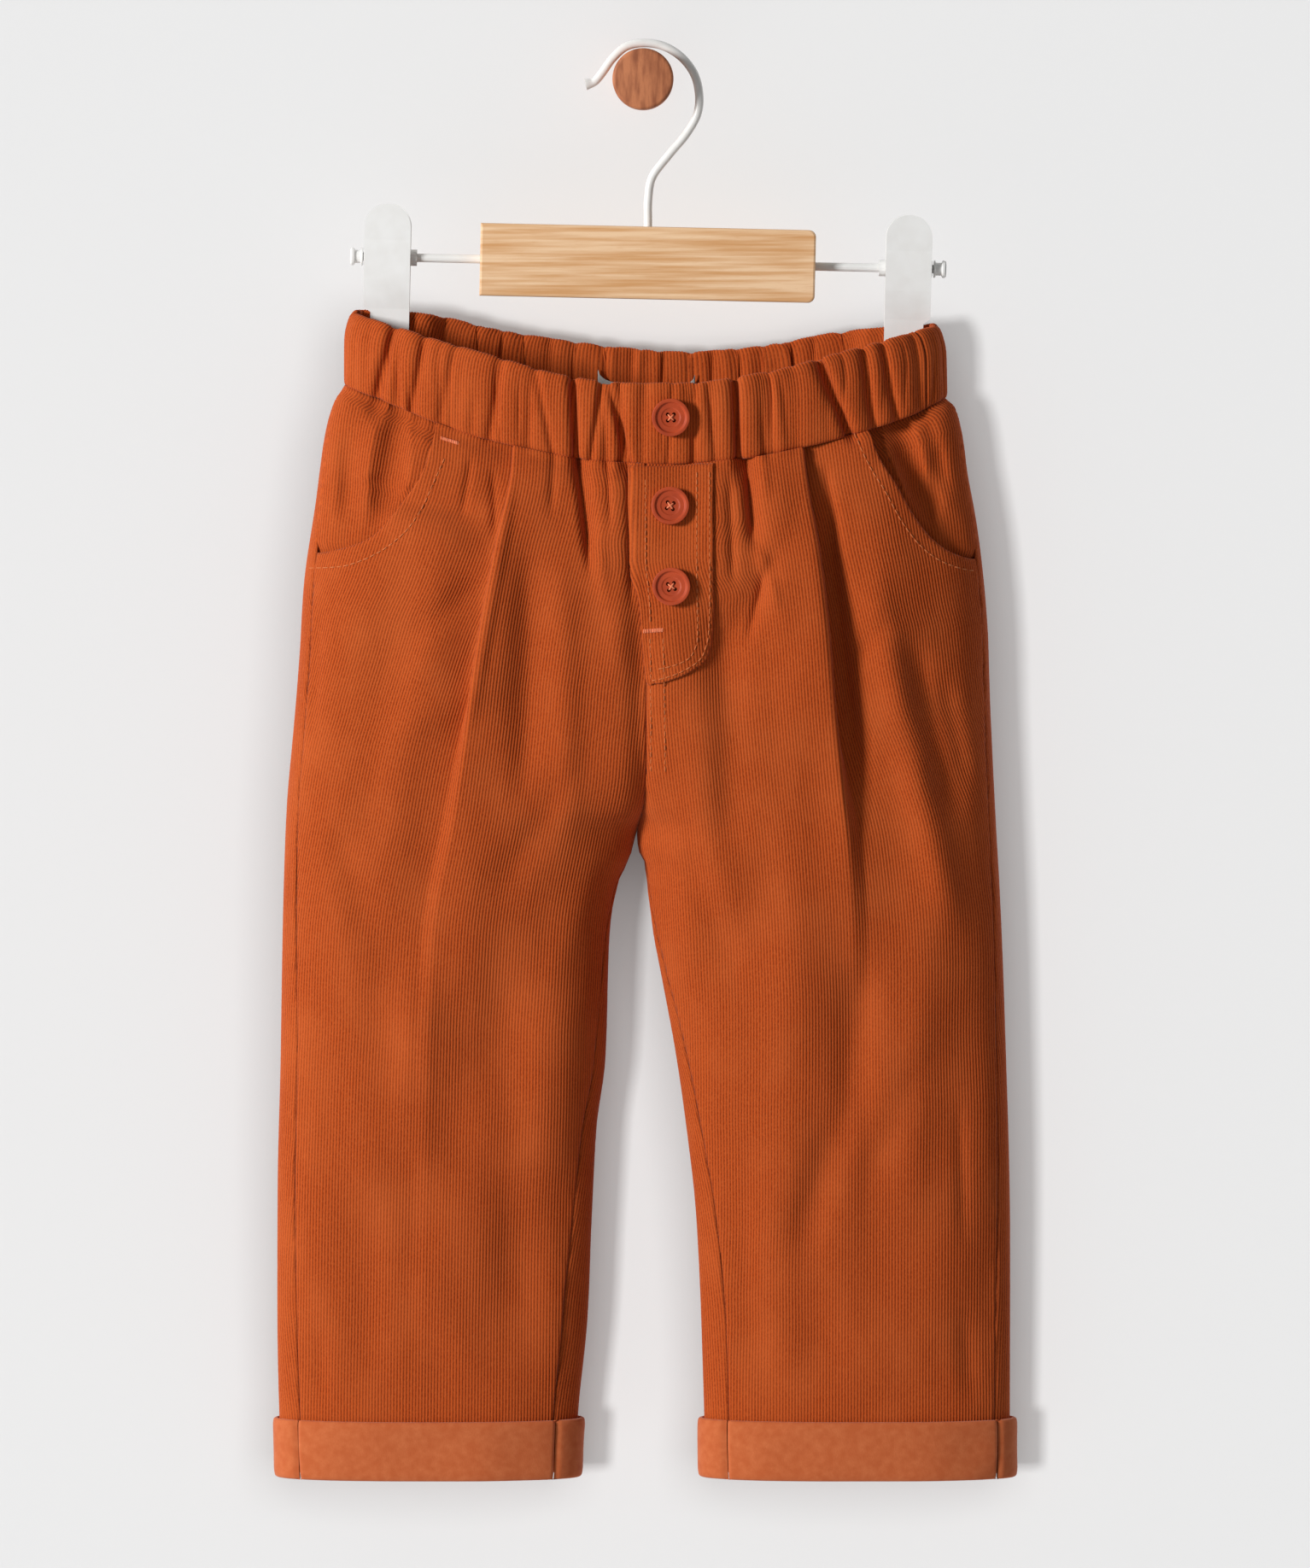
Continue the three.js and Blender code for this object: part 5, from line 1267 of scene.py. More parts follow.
@dataclass
class Panels:
    """The four large panels, from the waist seam to the hem."""

    front: CordWeave = field(default_factory=lambda: CordWeave(per_rib=4, seed=11))
    back: CordWeave = field(default_factory=lambda: CordWeave(per_rib=3, seed=23))
    front_flat: tuple[float, float] = (0.155, 0.43)
    back_flat: tuple[float, float] = (0.175, 0.43)

    def build(self, finish: CordFinish) -> list[bpy.types.Object]:
        """Args:
            finish: The cord's finish.

        Returns:
            The panels.
        """
        made = []
        for leg in LEGS:
            path, anchor = front_path(leg, PANEL_LEVELS)
            piece = self.front.lay(f"front_{leg.side}_cord", path, anchor, flip=leg.sign < 0, mouth=leg)
            made.append(dress_cloth(piece, finish, f"front_{leg.side}", Hold.HUNG))
            path, anchor = back_path(leg, PANEL_LEVELS)
            piece = self.back.lay(f"back_{leg.side}_cord", path, anchor, flip=leg.sign > 0)
            made.append(dress_cloth(piece, finish, f"back_{leg.side}", Hold.HUNG))
        return made


@dataclass
class Waistband:
    """The gathered casing round the elastic, ribbed on both faces and over its top edge."""

    weave: CordWeave = field(default_factory=lambda: CordWeave(per_rib=4, seed=31))
    flat: tuple[float, float] = (0.32, 0.062)
    half: float = BAND / 2
    crease_step: tuple[float, float] = (3.5, 12.0)
    crease_depth: tuple[float, float] = (0.2, 1.1)
    crease_width: tuple[float, float] = (0.8, 2.3)
    crease_lean: tuple[float, float] = (-3.0, 4.0)
    deepest: float = 2.6
    seam_tuck: float = 0.4
    top_share: float = 0.75
    top_dip: float = 0.8

    def profile(self) -> tuple[np.ndarray, np.ndarray]:
        """How far down each row lies and how far out of the middle of the casing."""
        rows = [(1.02, 0.0), (1.012, 0.55), (0.995, 0.9), (0.97, 1.15), (0.93, 1.27)]
        rows += [(down, self.half) for down in np.linspace(0.88, 0.1, 15)]
        for angle in np.linspace(0, math.pi, 8):
            rows.append((0.045 - self.half * math.sin(angle) / BAND_HEIGHT, self.half * math.cos(angle)))
        rows += [(down, -self.half) for down in np.linspace(0.1, 1.0, 10)]
        down, out = np.array(rows).T
        return down[:, None], out[:, None]

    def creases(self, along: np.ndarray, down: np.ndarray, seed: int) -> np.ndarray:
        """Depth of the small uneven creases between the large gathers.

        Args:
            along: Length along the band.
            down: How far down the rows lie.
            seed: The seed of their places.

        Returns:
            The depth.
        """
        rng = np.random.default_rng(seed)
        total = np.zeros(np.broadcast(along, down).shape)
        at = along.min() + 4
        while at < along.max() - 3:
            depth, width = rng.uniform(*self.crease_depth), rng.uniform(*self.crease_width)
            lean = rng.uniform(*self.crease_lean)
            middle, reach = rng.uniform(0.0, 1.0), rng.uniform(0.3, 0.8)
            away = along - at - lean * (down - 0.5)
            shape = 0.65 * np.exp(-((away / width) ** 2)) + 0.35 * np.exp(-((away / width / 2.4) ** 2))
            total = total + depth * shape * np.exp(-(((down - middle) / reach) ** 2))
            at += rng.uniform(*self.crease_step)
        return total

    def stretch(self, name: str, turns: tuple[float, float], seed: int, placed: Table,
                ) -> bpy.types.Object:
        """Builds the casing between two turns.

        Args:
            name: The piece's name.
            turns: Where it starts and ends.
            seed: The seed of its creases.
            placed: The creases that have a place of their own.

        Returns:
            The piece.
        """
        fine = np.linspace(*turns, 6001)
        line = band_point(fine, np.full_like(fine, 0.5))
        length = np.concatenate([[0], np.cumsum(np.linalg.norm(np.diff(line, axis=0), axis=1))])
        step = self.weave.pitch / self.weave.per_rib
        column = np.arange(int(length[-1] / step) + 1)
        along = column * step + (length[-1] - column[-1] * step) / 2
        turn = np.interp(along, length, fine)[None, :]
        down, out = self.profile()
        middle = band_point(turn, down)
        flat = grid_normals(band_point(turn, np.linspace(0.05, 1, 12)[:, None]))
        at = np.clip((down[:, 0] - 0.05) / 0.95 * 11, 0, 10.999)
        low = at.astype(int)
        normal = mix(flat[low], flat[low + 1], (at - low)[:, None, None])
        outward = np.sign(normal[..., 1] * (middle[..., 1] + 43))[..., None]
        normal = normal * np.where(outward.mean() > 0, 1, -1)
        normal /= np.linalg.norm(normal, axis=2, keepdims=True)
        rib = np.broadcast_to(self.weave.profile(column), middle.shape[:2])
        wear = smooth_noise(middle.shape[:2], (5, 12), seed)
        edge = np.minimum(along - along[0], along[-1] - along)[None, :]
        rib = rib * ease(edge / 0.6)
        face = np.sign(out + 1e-6) * np.minimum(1, np.abs(out) / self.half)
        drop = self.seam_tuck * np.exp(-((edge / 0.7) ** 2))
        raised = self.weave.height * (rib * (1 + 0.2 * wear) - 0.5) - drop
        top = np.sqrt(np.clip(1 - (out / self.half) ** 2, 0, 1)) * (down < 0.1)
        inset = self.creases(along[None, :], down, seed)
        for top_x, seam_x, depth, width in zip(*placed.values()):
            away = middle[..., 0] - mix(top_x, seam_x, down)
            inset = inset + depth * np.exp(-((away / width) ** 2))
        inset = np.minimum(inset, self.deepest) * np.where(down < 0.06, self.top_share, 1)
        points = middle + normal * (out + face * raised - inset)[..., None]
        points[..., 2] += top * (raised - self.top_dip * inset)
        rows, count = middle.shape[:2]
        faces = grid_faces(rows, count)
        if turn_inward(points, normal):
            faces = [face[::-1] for face in faces]
        # The rib attribute also tells the finish where to paint shade in the grooves.
        return make_mesh(name, points.reshape(-1, 3), faces, {"rib": rib.ravel()})

    def build(self, finish: CordFinish) -> list[bpy.types.Object]:
        """Builds and declares both stretches.

        Args:
            finish: The cord's finish.

        Returns:
            The stretches.
        """
        left = math.asin((LEFT_SEAM_X - BAND_MIDDLE_X) / float(band_half(0.5)))
        right = -math.pi / 2 - math.radians(RIGHT_SEAM_TURN)
        made = []
        for side, turns, seed, placed in (
            ("front", (right, left), 41, FRONT_CREASES),
            ("back", (left, right + 2 * math.pi), 43, BACK_CREASES),
        ):
            piece = self.stretch(f"waistband_{side}_cord", turns, seed, placed)
            made.append(dress_cloth(piece, finish, f"waistband_{side}", Hold.GATHERED))
        return made


def turn_inward(points: np.ndarray, normal: np.ndarray) -> bool:
    """Whether quads in the grid's own order face against the given normals."""
    rows, columns = points.shape[0] // 3, points.shape[1] // 2
    a, b, c = points[rows, columns], points[rows, columns + 1], points[rows + 1, columns]
    return float(np.dot(np.cross(b - a, c - a), normal[rows, columns])) < 0


@dataclass
class PocketFacings:
    """The side pieces seen inside the pocket mouths."""

    weave: CordWeave = field(default_factory=lambda: CordWeave(per_rib=4, seed=51))
    flat: tuple[float, float] = (0.045, 0.08)
    underlap: float = 6.0
    width: float = 17.0
    gap: float = 1.7
    gape: float = 1.4
    past_side: float = 1.4
    opening: tuple[float, float] = (0.6, 8.0)

    def path(self, leg: Leg) -> np.ndarray:
        """The facing's rows, one cloth thickness behind the front.

        Args:
            leg: The leg.

        Returns:
            Points by row and step, from the inner edge to the side.
        """
        level = np.linspace(WAIST_SIDE_Z - 0.1, leg.pocket_end - self.underlap, 46)[:, None]
        plan = FrontPlan(leg, level, (FRONT_FOLDS, FACING_FOLDS, FINE_FACING_FOLDS))
        covered = FrontPlan(leg, level)
        inner = leg.pocket(level)
        for _ in range(24):
            z = front_z(level, leg.sign * inner) + self.underlap
            reach = np.minimum(plan.side - self.width, leg.pocket(z) - self.underlap)
            inner = mix(inner, reach, 0.5)
        share = np.linspace(0, 1, 121)[None, :]
        out = mix(inner, plan.side + self.past_side, share)
        past_mouth = out - leg.pocket(front_z(level, leg.sign * out))
        seen = ease((past_mouth - self.opening[0]) / self.opening[1])
        points = plan.points(out, mix(covered.under(out), plan.under(out), seen))
        near_side = ease((share - 0.6) / 0.4)
        above = ease((points[..., 2] - leg.pocket_end + 0.5) / 6)
        gape = 1 + self.gape * (1 - share) ** 2
        behind = (CLOTH + self.gap) * gape * (1 - near_side * above)
        return points + grid_normals(points) * (-leg.sign * behind)[..., None]

    def build(self, finish: CordFinish) -> list[bpy.types.Object]:
        """Builds and declares both facings.

        Args:
            finish: The cord's finish.

        Returns:
            The facings.
        """
        made = []
        for leg in LEGS:
            path = self.path(leg)
            name = f"pocket_facing_{leg.side}"
            piece = self.weave.lay(f"{name}_cord", path, path.shape[1] - 1, flip=leg.sign < 0)
            made.append(dress_cloth(piece, finish, name, Hold.HUNG))
        return made


@dataclass
class MockFly:
    """The J-shaped placket laid on the fronts."""

    weave: CordWeave = field(default_factory=lambda: CordWeave(per_rib=4, seed=61))
    flat: tuple[float, float] = (0.032, 0.09)
    gap: float = 0.45
    thickness: float = 1.0
    top_gap: float = 1.3
    middle: float = 11.6

    def path(self) -> np.ndarray:
        """The placket's rows on the fronts' middle surface, from its free edge."""
        top = float(front_z(np.array(WAIST_SIDE_Z - self.top_gap), np.array(self.middle)))
        heights = np.concatenate([
            np.linspace(top, top - 2, 5), np.linspace(top - 4, -206, 18),
            np.linspace(-208, -234, 20), np.linspace(-235, -240.4, 10),
        ])
        level = level_at(np.full_like(heights, self.middle), heights)[:, None]
        edges = []
        for edge in (fly_free, fly_stitched):
            x = np.full_like(level, self.middle)
            for _ in range(24):
                x = mix(x, edge(front_z(level, x)), 0.5)
            edges.append(x)
        x = mix(edges[0], edges[1], np.linspace(0, 1, 101)[None, :])
        return front_surface(x, np.broadcast_to(level, x.shape), level)

    def build(self, finish: CordFinish) -> list[bpy.types.Object]:
        """Args:
            finish: The cord's finish.

        Returns:
            The placket, in a list.
        """
        outer = CLOTH / 2 + self.gap + self.thickness
        piece = self.weave.lay("fly_cord", self.path(), 0, offset=outer)
        return [dress_cloth(piece, finish, "fly", Hold.HUNG)]


def front_surface(x: np.ndarray, level: np.ndarray, row: np.ndarray) -> np.ndarray:
    """Points of the fronts' middle surface across both legs.

    Args:
        x: Places across.
        level: The level of each place.
        row: The level of each row.

    Returns:
        The points.
    """
    found = []
    for leg in LEGS:
        plan = FrontPlan(leg, row)
        found.append(plan.top(np.maximum(leg.sign * x, plan.inner)))
    y = np.where(x < centre_x(WAIST_SIDE_Z), found[0], found[1])
    return np.stack([x, y, front_z(level, x)], axis=-1)


@dataclass
class Cuffs:
    """The hems turned up with the smooth face out, each in two pieces."""

    half: float = 1.0
    columns: int = 150
    seed: int = 71
    seam_turn: float = 0.006
    softness: float = 0.35
    length: float = 115.0
    tuck: tuple[float, float] = (0.8, 1.1)
    front_flat: tuple[float, float] = (0.115, 0.045)
    back_flat: tuple[float, float] = (0.178, 0.045)

    def profile(self) -> tuple[np.ndarray, np.ndarray]:
        """How far down each row lies and how far it stands out of the wall's middle."""
        high = CUFF_TOP_Z - CUFF_BOTTOM_Z
        rows = [(down, -self.half) for down in (0.45, 0.25, 0.12)]
        for angle in np.linspace(math.pi, 0, 8):
            rows.append((0.05 - self.half * math.sin(angle) / high, self.half * math.cos(angle)))
        rows += [(down, self.half) for down in np.linspace(0.1, 0.9, 15)]
        for angle in np.linspace(0, math.pi, 8):
            rows.append((0.955 + self.half * math.sin(angle) / high, self.half * math.cos(angle)))
        rows += [(down, -self.half) for down in (0.88, 0.75, 0.55)]
        down, out = np.array(rows).T
        return down[:, None], out[:, None]

    def piece(self, leg: Leg, front: bool) -> bpy.types.Object:
        """Builds one piece between the side seam and the inseam.

        Args:
            leg: The leg.
            front: Whether it is the front piece.

        Returns:
            The piece.
        """
        down, out = self.profile()
        level = mix(CUFF_TOP_Z, CUFF_BOTTOM_Z, down)
        s = Section(leg, level)
        side, inner = seam_turns(leg, s, level)
        share = np.linspace(0, 1, self.columns)[None, :]
        if front:
            turn = mix(side + self.seam_turn, inner + 2 * math.pi - self.seam_turn, share)
        else:
            turn = mix(inner + self.seam_turn, side - self.seam_turn, share)
        wrapped = np.where(turn > math.pi, turn - 2 * math.pi, turn)
        ring = ring_point(leg, s, level, wrapped)
        ahead = ring_point(leg, s, level, wrapped - 0.01 * np.sign(wrapped))
        along = (ring - ahead) * np.sign(wrapped)[..., None]
        normal = np.stack([-along[..., 1], along[..., 0], 0 * along[..., 2]], axis=-1)
        normal *= leg.sign / np.maximum(np.linalg.norm(normal, axis=2, keepdims=True), 1e-9)
        stand = Curve(CUFF_ROWS, "down", "out")(down)
        seed = self.seed + (7 if front else 0) + leg.sign
        soft = self.softness * smooth_noise(turn.shape, (12, 26), seed)
        edge = np.minimum(share, 1 - share) * self.length
        tuck = self.tuck[0] * np.exp(-((edge / self.tuck[1]) ** 2))
        face = np.sign(out + 1e-6)
        points = ring + normal * (stand + out + soft - face * tuck)[..., None]
        faces = grid_faces(*turn.shape)
        if turn_inward(points[10:26], normal[10:26]):
            faces = [face[::-1] for face in faces]
        name = f"cuff_{leg.side}_{'front' if front else 'back'}"
        return make_mesh(f"{name}_cloth", points.reshape(-1, 3), faces)

    def build(self, finish: SmoothCloth) -> list[bpy.types.Object]:
        """Args:
            finish: The smooth face's finish.

        Returns:
            The pieces.
        """
        made = []
        for leg in LEGS:
            for front in (True, False):
                piece = self.piece(leg, front)
                node = piece.name.removesuffix("_cloth")
                made.append(dress_cloth(piece, finish, node, Hold.FOLDED))
        return made


@dataclass
class Label:
    """The blank woven label inside the back of the band, its top edge sagging between its ends."""

    width: float = 39.0
    height: float = 20.0
    middle: float = 1.4
    top_z: float = -117.2
    tilt: float = 3.2
    tilt_reach: float = 18.0
    sag: float = 5.0
    behind: float = 1.7
    bow: float = 1.5
    rows: int = 40
    columns: int = 61

    def build(self) -> bpy.types.Object:
        share = np.linspace(-1, 1, self.columns)[None, :]
        down = np.linspace(0, 1, self.rows)[:, None]
        x = self.middle + share * self.width / 2
        fall = self.sag * (1 - np.abs(share) ** 6) ** 0.6 * (1 - down) ** 2
        lean = share * math.tan(math.radians(self.tilt)) * self.tilt_reach
        z = self.top_z - fall - down * self.height - lean
        face = section_at["plane"](WAIST_SIDE_Z) + section_at["back"](WAIST_SIDE_Z) - BAND / 2
        bow = self.bow * (1 - share**2) * (1 - down)
        y = face - self.behind - bow - 0.03 * np.sin(down * 60)
        points = np.stack(np.broadcast_arrays(x, y, z), axis=-1)
        faces = grid_faces(self.rows, self.columns)
        piece = make_mesh("label_woven", points.reshape(-1, 3), faces)
        apply_modifier(piece, "SOLIDIFY", thickness=0.5 * MM, offset=0.0)
        declare(piece, LABEL_CLOTH, "label")
        LOG.info("%s: %d faces", piece.name, len(piece.data.polygons))
        return piece


class Surfaces:
    """Finds places on the built cloth from the front."""

    def __init__(self, pieces: Sequence[bpy.types.Object]) -> None:
        """Joins the pieces' faces in one search tree."""
        points: list[Vector] = []
        faces: list[list[int]] = []
        for piece in pieces:
            first = len(points)
            points.extend(v.co for v in piece.data.vertices)
            faces.extend([first + i for i in face.vertices] for face in piece.data.polygons)
        self.tree = BVHTree.FromPolygons(points, faces)

    def front(self, x: float, z: float) -> tuple[Vector, Vector] | None:
        """The first place met from the front.

        Args:
            x: Place across, in millimetres.
            z: Height, in millimetres.

        Returns:
            The place and the way it faces, in metres, or None.
        """
        hit, normal, _, _ = self.tree.ray_cast(Vector((x * MM, -0.2, z * MM)), Vector((0, 1, 0)))
        if hit is None:
            return None
        return hit, normal if normal.y < 0 else -normal


@dataclass
class Stitching:
    """Rows of topstitching and bar tacks, as thread laid in the cloth."""

    length: float = 2.3
    gap: float = 0.55
    radius: float = 0.27
    lift: float = 0.02
    sides: int = 6
    lines: dict[str, Table] = field(default_factory=lambda: {
        "fly_free": table("x z", (1, -159), (1.1, -190), (2.6, -207), (3, -218)),
        "fly_inner": table(
            "x z", (21.4, -156), (21.4, -190), (21.7, -222), (18.8, -229.5), (12.3, -232.8),
            (3.4, -234.8)),
        "fly_outer": table(
            "x z", (26.4, -156), (26.6, -200), (26.2, -219), (23.6, -229.3), (16, -235),
            (8, -238), (3.4, -239)),
        "rise_right": table("x z", (2.9, -222), (3.2, -250), (3.2, -276)),
        "rise_left": table("x z", (8, -222), (8.6, -250), (8.9, -278)),
        "pocket_right": table(
            "x z", (-78.8, -150.7), (-83.2, -160.3), (-88, -170.8), (-93.4, -178.7),
            (-102, -186.2), (-111.5, -191.3), (-120, -194), (-134, -195.2)),
        "pocket_left": table(
            "x z", (84.2, -141), (89.4, -152.6), (96.2, -163.8), (103.4, -176.6), (111.2, -186.4),
            (119.8, -192.4), (130.4, -195.8), (139, -196.8)),
    })
    tacks: Table = field(default_factory=lambda: table(
        "x0 z0 x1 z1",
        (0.4, -219.2, 7.8, -218.6), (-80.2, -142.9, -73.6, -144.9),
    ))
    tack_stitches: int = 15
    tack_half: float = 0.9
    tack_radius: float = 0.3
    step: float = 4.0
    shape: Table = field(default_factory=lambda: table(
        "share width rise",
        (0, 0.35, -0.5), (0.12, 0.85, 0.2), (0.5, 1, 0.45), (0.88, 0.85, 0.2), (1, 0.35, -0.5),
    ))
    points: list[Vector] = field(default_factory=list)
    faces: list[tuple[int, ...]] = field(default_factory=list)

    def run(self, line: Table) -> list[tuple[np.ndarray, np.ndarray]]:
        """Where each stitch of a line starts and ends.

        Args:
            line: The line's places.

        Returns:
            Pairs of x and z.
        """
        path = np.stack([line["x"], line["z"]], axis=1)
        along = np.concatenate([[0], np.cumsum(np.linalg.norm(np.diff(path, axis=0), axis=1))])
        spline = [Curve({"t": along, "v": path[:, k]}, "t", "v") for k in range(2)]
        starts = np.arange(0, along[-1] - self.length, self.length + self.gap)
        at = [np.stack([curve(starts + extra) for curve in spline], axis=1)
              for extra in (0, self.length)]
        return list(zip(*at))

    def strand(self, start: Vector, end: Vector, facing: Vector, radius: float) -> None:
        """Adds one stitch, its ends sunk in the cloth.

        Args:
            start: Where it comes up.
            end: Where it goes down.
            facing: The way the cloth faces.
            radius: The thread's radius, in millimetres.
        """
        along = (end - start).normalized()
        side = along.cross(facing).normalized()
        first = len(self.points)
        for share, width, rise in zip(*self.shape.values()):
            middle = start.lerp(end, share) + facing * (rise * radius + self.lift) * MM
            for k in range(self.sides):
                angle = 2 * math.pi * k / self.sides
                spoke = side * math.cos(angle) + facing * math.sin(angle)
                self.points.append(middle + spoke * radius * width * MM)
        last = len(self.shape["share"]) - 1
        for r in range(last):
            for k in range(self.sides):
                a, b = first + r * self.sides + k, first + r * self.sides + (k + 1) % self.sides
                self.faces.append((a, b, b + self.sides, a + self.sides))
        self.faces.append(tuple(first + k for k in reversed(range(self.sides))))
        self.faces.append(tuple(first + last * self.sides + k for k in range(self.sides)))

    def flush(self, name: str) -> bpy.types.Object:
        """Makes one piece of the stitches added so far."""
        points = np.array([tuple(p) for p in self.points]) / MM
        piece = make_mesh(name, points, self.faces)
        declare(piece, THREAD if name.startswith("stitches") else TACK_THREAD)
        self.points, self.faces = [], []
        return piece

    def build(self, cloth: Surfaces) -> list[bpy.types.Object]:
        """Lays every line and tack on the cloth.

        Args:
            cloth: Where the cloth is.

        Returns:
            The sewn pieces.
        """
        made = []
        for name, line in self.lines.items():
            for (x0, z0), (x1, z1) in self.run(line):
                start, end = cloth.front(x0, z0), cloth.front(x1, z1)
                if start and end and abs(start[0].y - end[0].y) < self.step * MM:
                    self.strand(start[0], end[0], (start[1] + end[1]).normalized(), self.radius)
            made.append(self.flush(f"stitches_{name}"))
        for x0, z0, x1, z1 in zip(*self.tacks.values()):
            for share in np.linspace(0, 1, self.tack_stitches):
                place = cloth.front(mix(x0, x1, share), mix(z0, z1, share))
                if place:
                    across = Vector((0, 0, self.tack_half * MM))
                    self.strand(place[0] - across, place[0] + across, place[1], self.tack_radius)
        made.append(self.flush("bar_tacks"))
        LOG.info("stitching: %d pieces", len(made))
        return made


@dataclass
class Buttons:
    """Three four-hole buttons with a turned rim and a dished middle."""

    radius: float = 7.5
    height: float = 2.7
    hole: float = 0.75
    pitch: float = 1.25
    gap: float = 0.45
    thread: float = 0.42
    thread_depth: float = 0.85
    turns: tuple[float, ...] = (4.0, -7.0, 9.0)
    face: Table = field(default_factory=lambda: table(
        "inset rise", (1.3, 0), (0.5, -0.75), (1.8, 0.12), (0.35, -0.3)))
    seats: Table = field(default_factory=lambda: table(
        "x z", (10.9, -134.4), (10.7, -169.8), (11.4, -201.4)))

    def seat(self, x: float, z: float) -> tuple[np.ndarray, np.ndarray]:
        """The cloth's outer face under a button.

        Args:
            x: Place across.
            z: Height.

        Returns:
            The place and the way it faces.
        """
        on_band = z > front_seam_z(x)

        def surface(px: float, pz: float) -> np.ndarray:
            if on_band:
                turn = math.asin((px - BAND_MIDDLE_X) / float(band_half(0.5)))
                down = (pz - front_top_z(px)) / (front_seam_z(px) - front_top_z(px))
                return band_point(np.array(turn), np.array(down))
            level = level_at(np.array([[px]]), np.array([[pz]]))
            return front_surface(np.array([[px]]), level, level)[0, 0]

        reach = self.radius - 1
        across = surface(x + reach, z) - surface(x - reach, z)
        facing = np.cross(across, surface(x, z + reach) - surface(x, z - reach))
        facing /= np.linalg.norm(facing)
        under = BAND / 2 if on_band else CLOTH / 2 + MockFly.gap + MockFly.thickness
        return surface(x, z) + facing * (under + self.gap), facing

    def blank(self) -> bpy.types.Object:
        """Turns one button, lying flat with its back on the origin."""
        bpy.ops.mesh.primitive_cylinder_add(
            vertices=72, radius=self.radius * MM, depth=self.height * MM,
            location=(0, 0, self.height * MM / 2))
        button = bpy.context.object
        bpy.ops.object.transform_apply(location=True)
        select_faces(button, (0, 0, 1))
        for inset, rise in zip(*self.face.values()):
            bpy.ops.mesh.inset(thickness=inset * MM, depth=rise * MM)
        bpy.ops.object.mode_set(mode="OBJECT")
        apply_modifier(button, "BEVEL", width=0.35 * MM, segments=3, limit_method="ANGLE",
                       angle_limit=math.radians(24))
        for sx in (-1, 1):
            for sy in (-1, 1):
                bpy.ops.mesh.primitive_cylinder_add(
                    vertices=20, radius=self.hole * MM, depth=0.02,
                    location=(sx * self.pitch * MM, sy * self.pitch * MM, 0))
                drill = bpy.context.object
                apply_modifier(button, "BOOLEAN", operation="DIFFERENCE", object=drill)
                bpy.data.objects.remove(drill, do_unlink=True)
        select_only(button)
        bpy.ops.object.shade_smooth_by_angle(angle=math.radians(35))
        return button

    def build(self, stitching: Stitching) -> list[bpy.types.Object]:
        """Places the buttons and their thread.

        Args:
            stitching: What lays the thread.

        Returns:
            The buttons.
        """
        blank = self.blank()
        made = []
        for number, (x, z) in enumerate(zip(*self.seats.values()), start=1):
            at, facing = self.seat(x, z)
            turn = Vector((0, 0, 1)).rotation_difference(Vector(facing)).to_matrix().to_4x4()
            upright = Matrix.Rotation(math.radians(self.turns[number - 1]), 4, "Z")
            place = Matrix.Translation(Vector(at * MM)) @ turn @ upright
            button = bpy.data.objects.new(f"button_{number}_turned", blank.data.copy())
            button.data.transform(place)
            bpy.context.collection.objects.link(button)
            declare(button, BUTTON_FACE, f"button_{number}")
            made.append(button)
            level = self.height - self.thread_depth
            for sign in (-1, 1):
                ends = [place @ Vector((s * self.pitch * MM, s * sign * self.pitch * MM, level * MM))
                        for s in (-1, 1)]
                stitching.strand(ends[0], ends[1], Vector(facing), self.thread)
        bpy.data.objects.remove(blank, do_unlink=True)
        made.append(stitching.flush("button_thread"))
        LOG.info("buttons: %d", len(made) - 1)
        return made


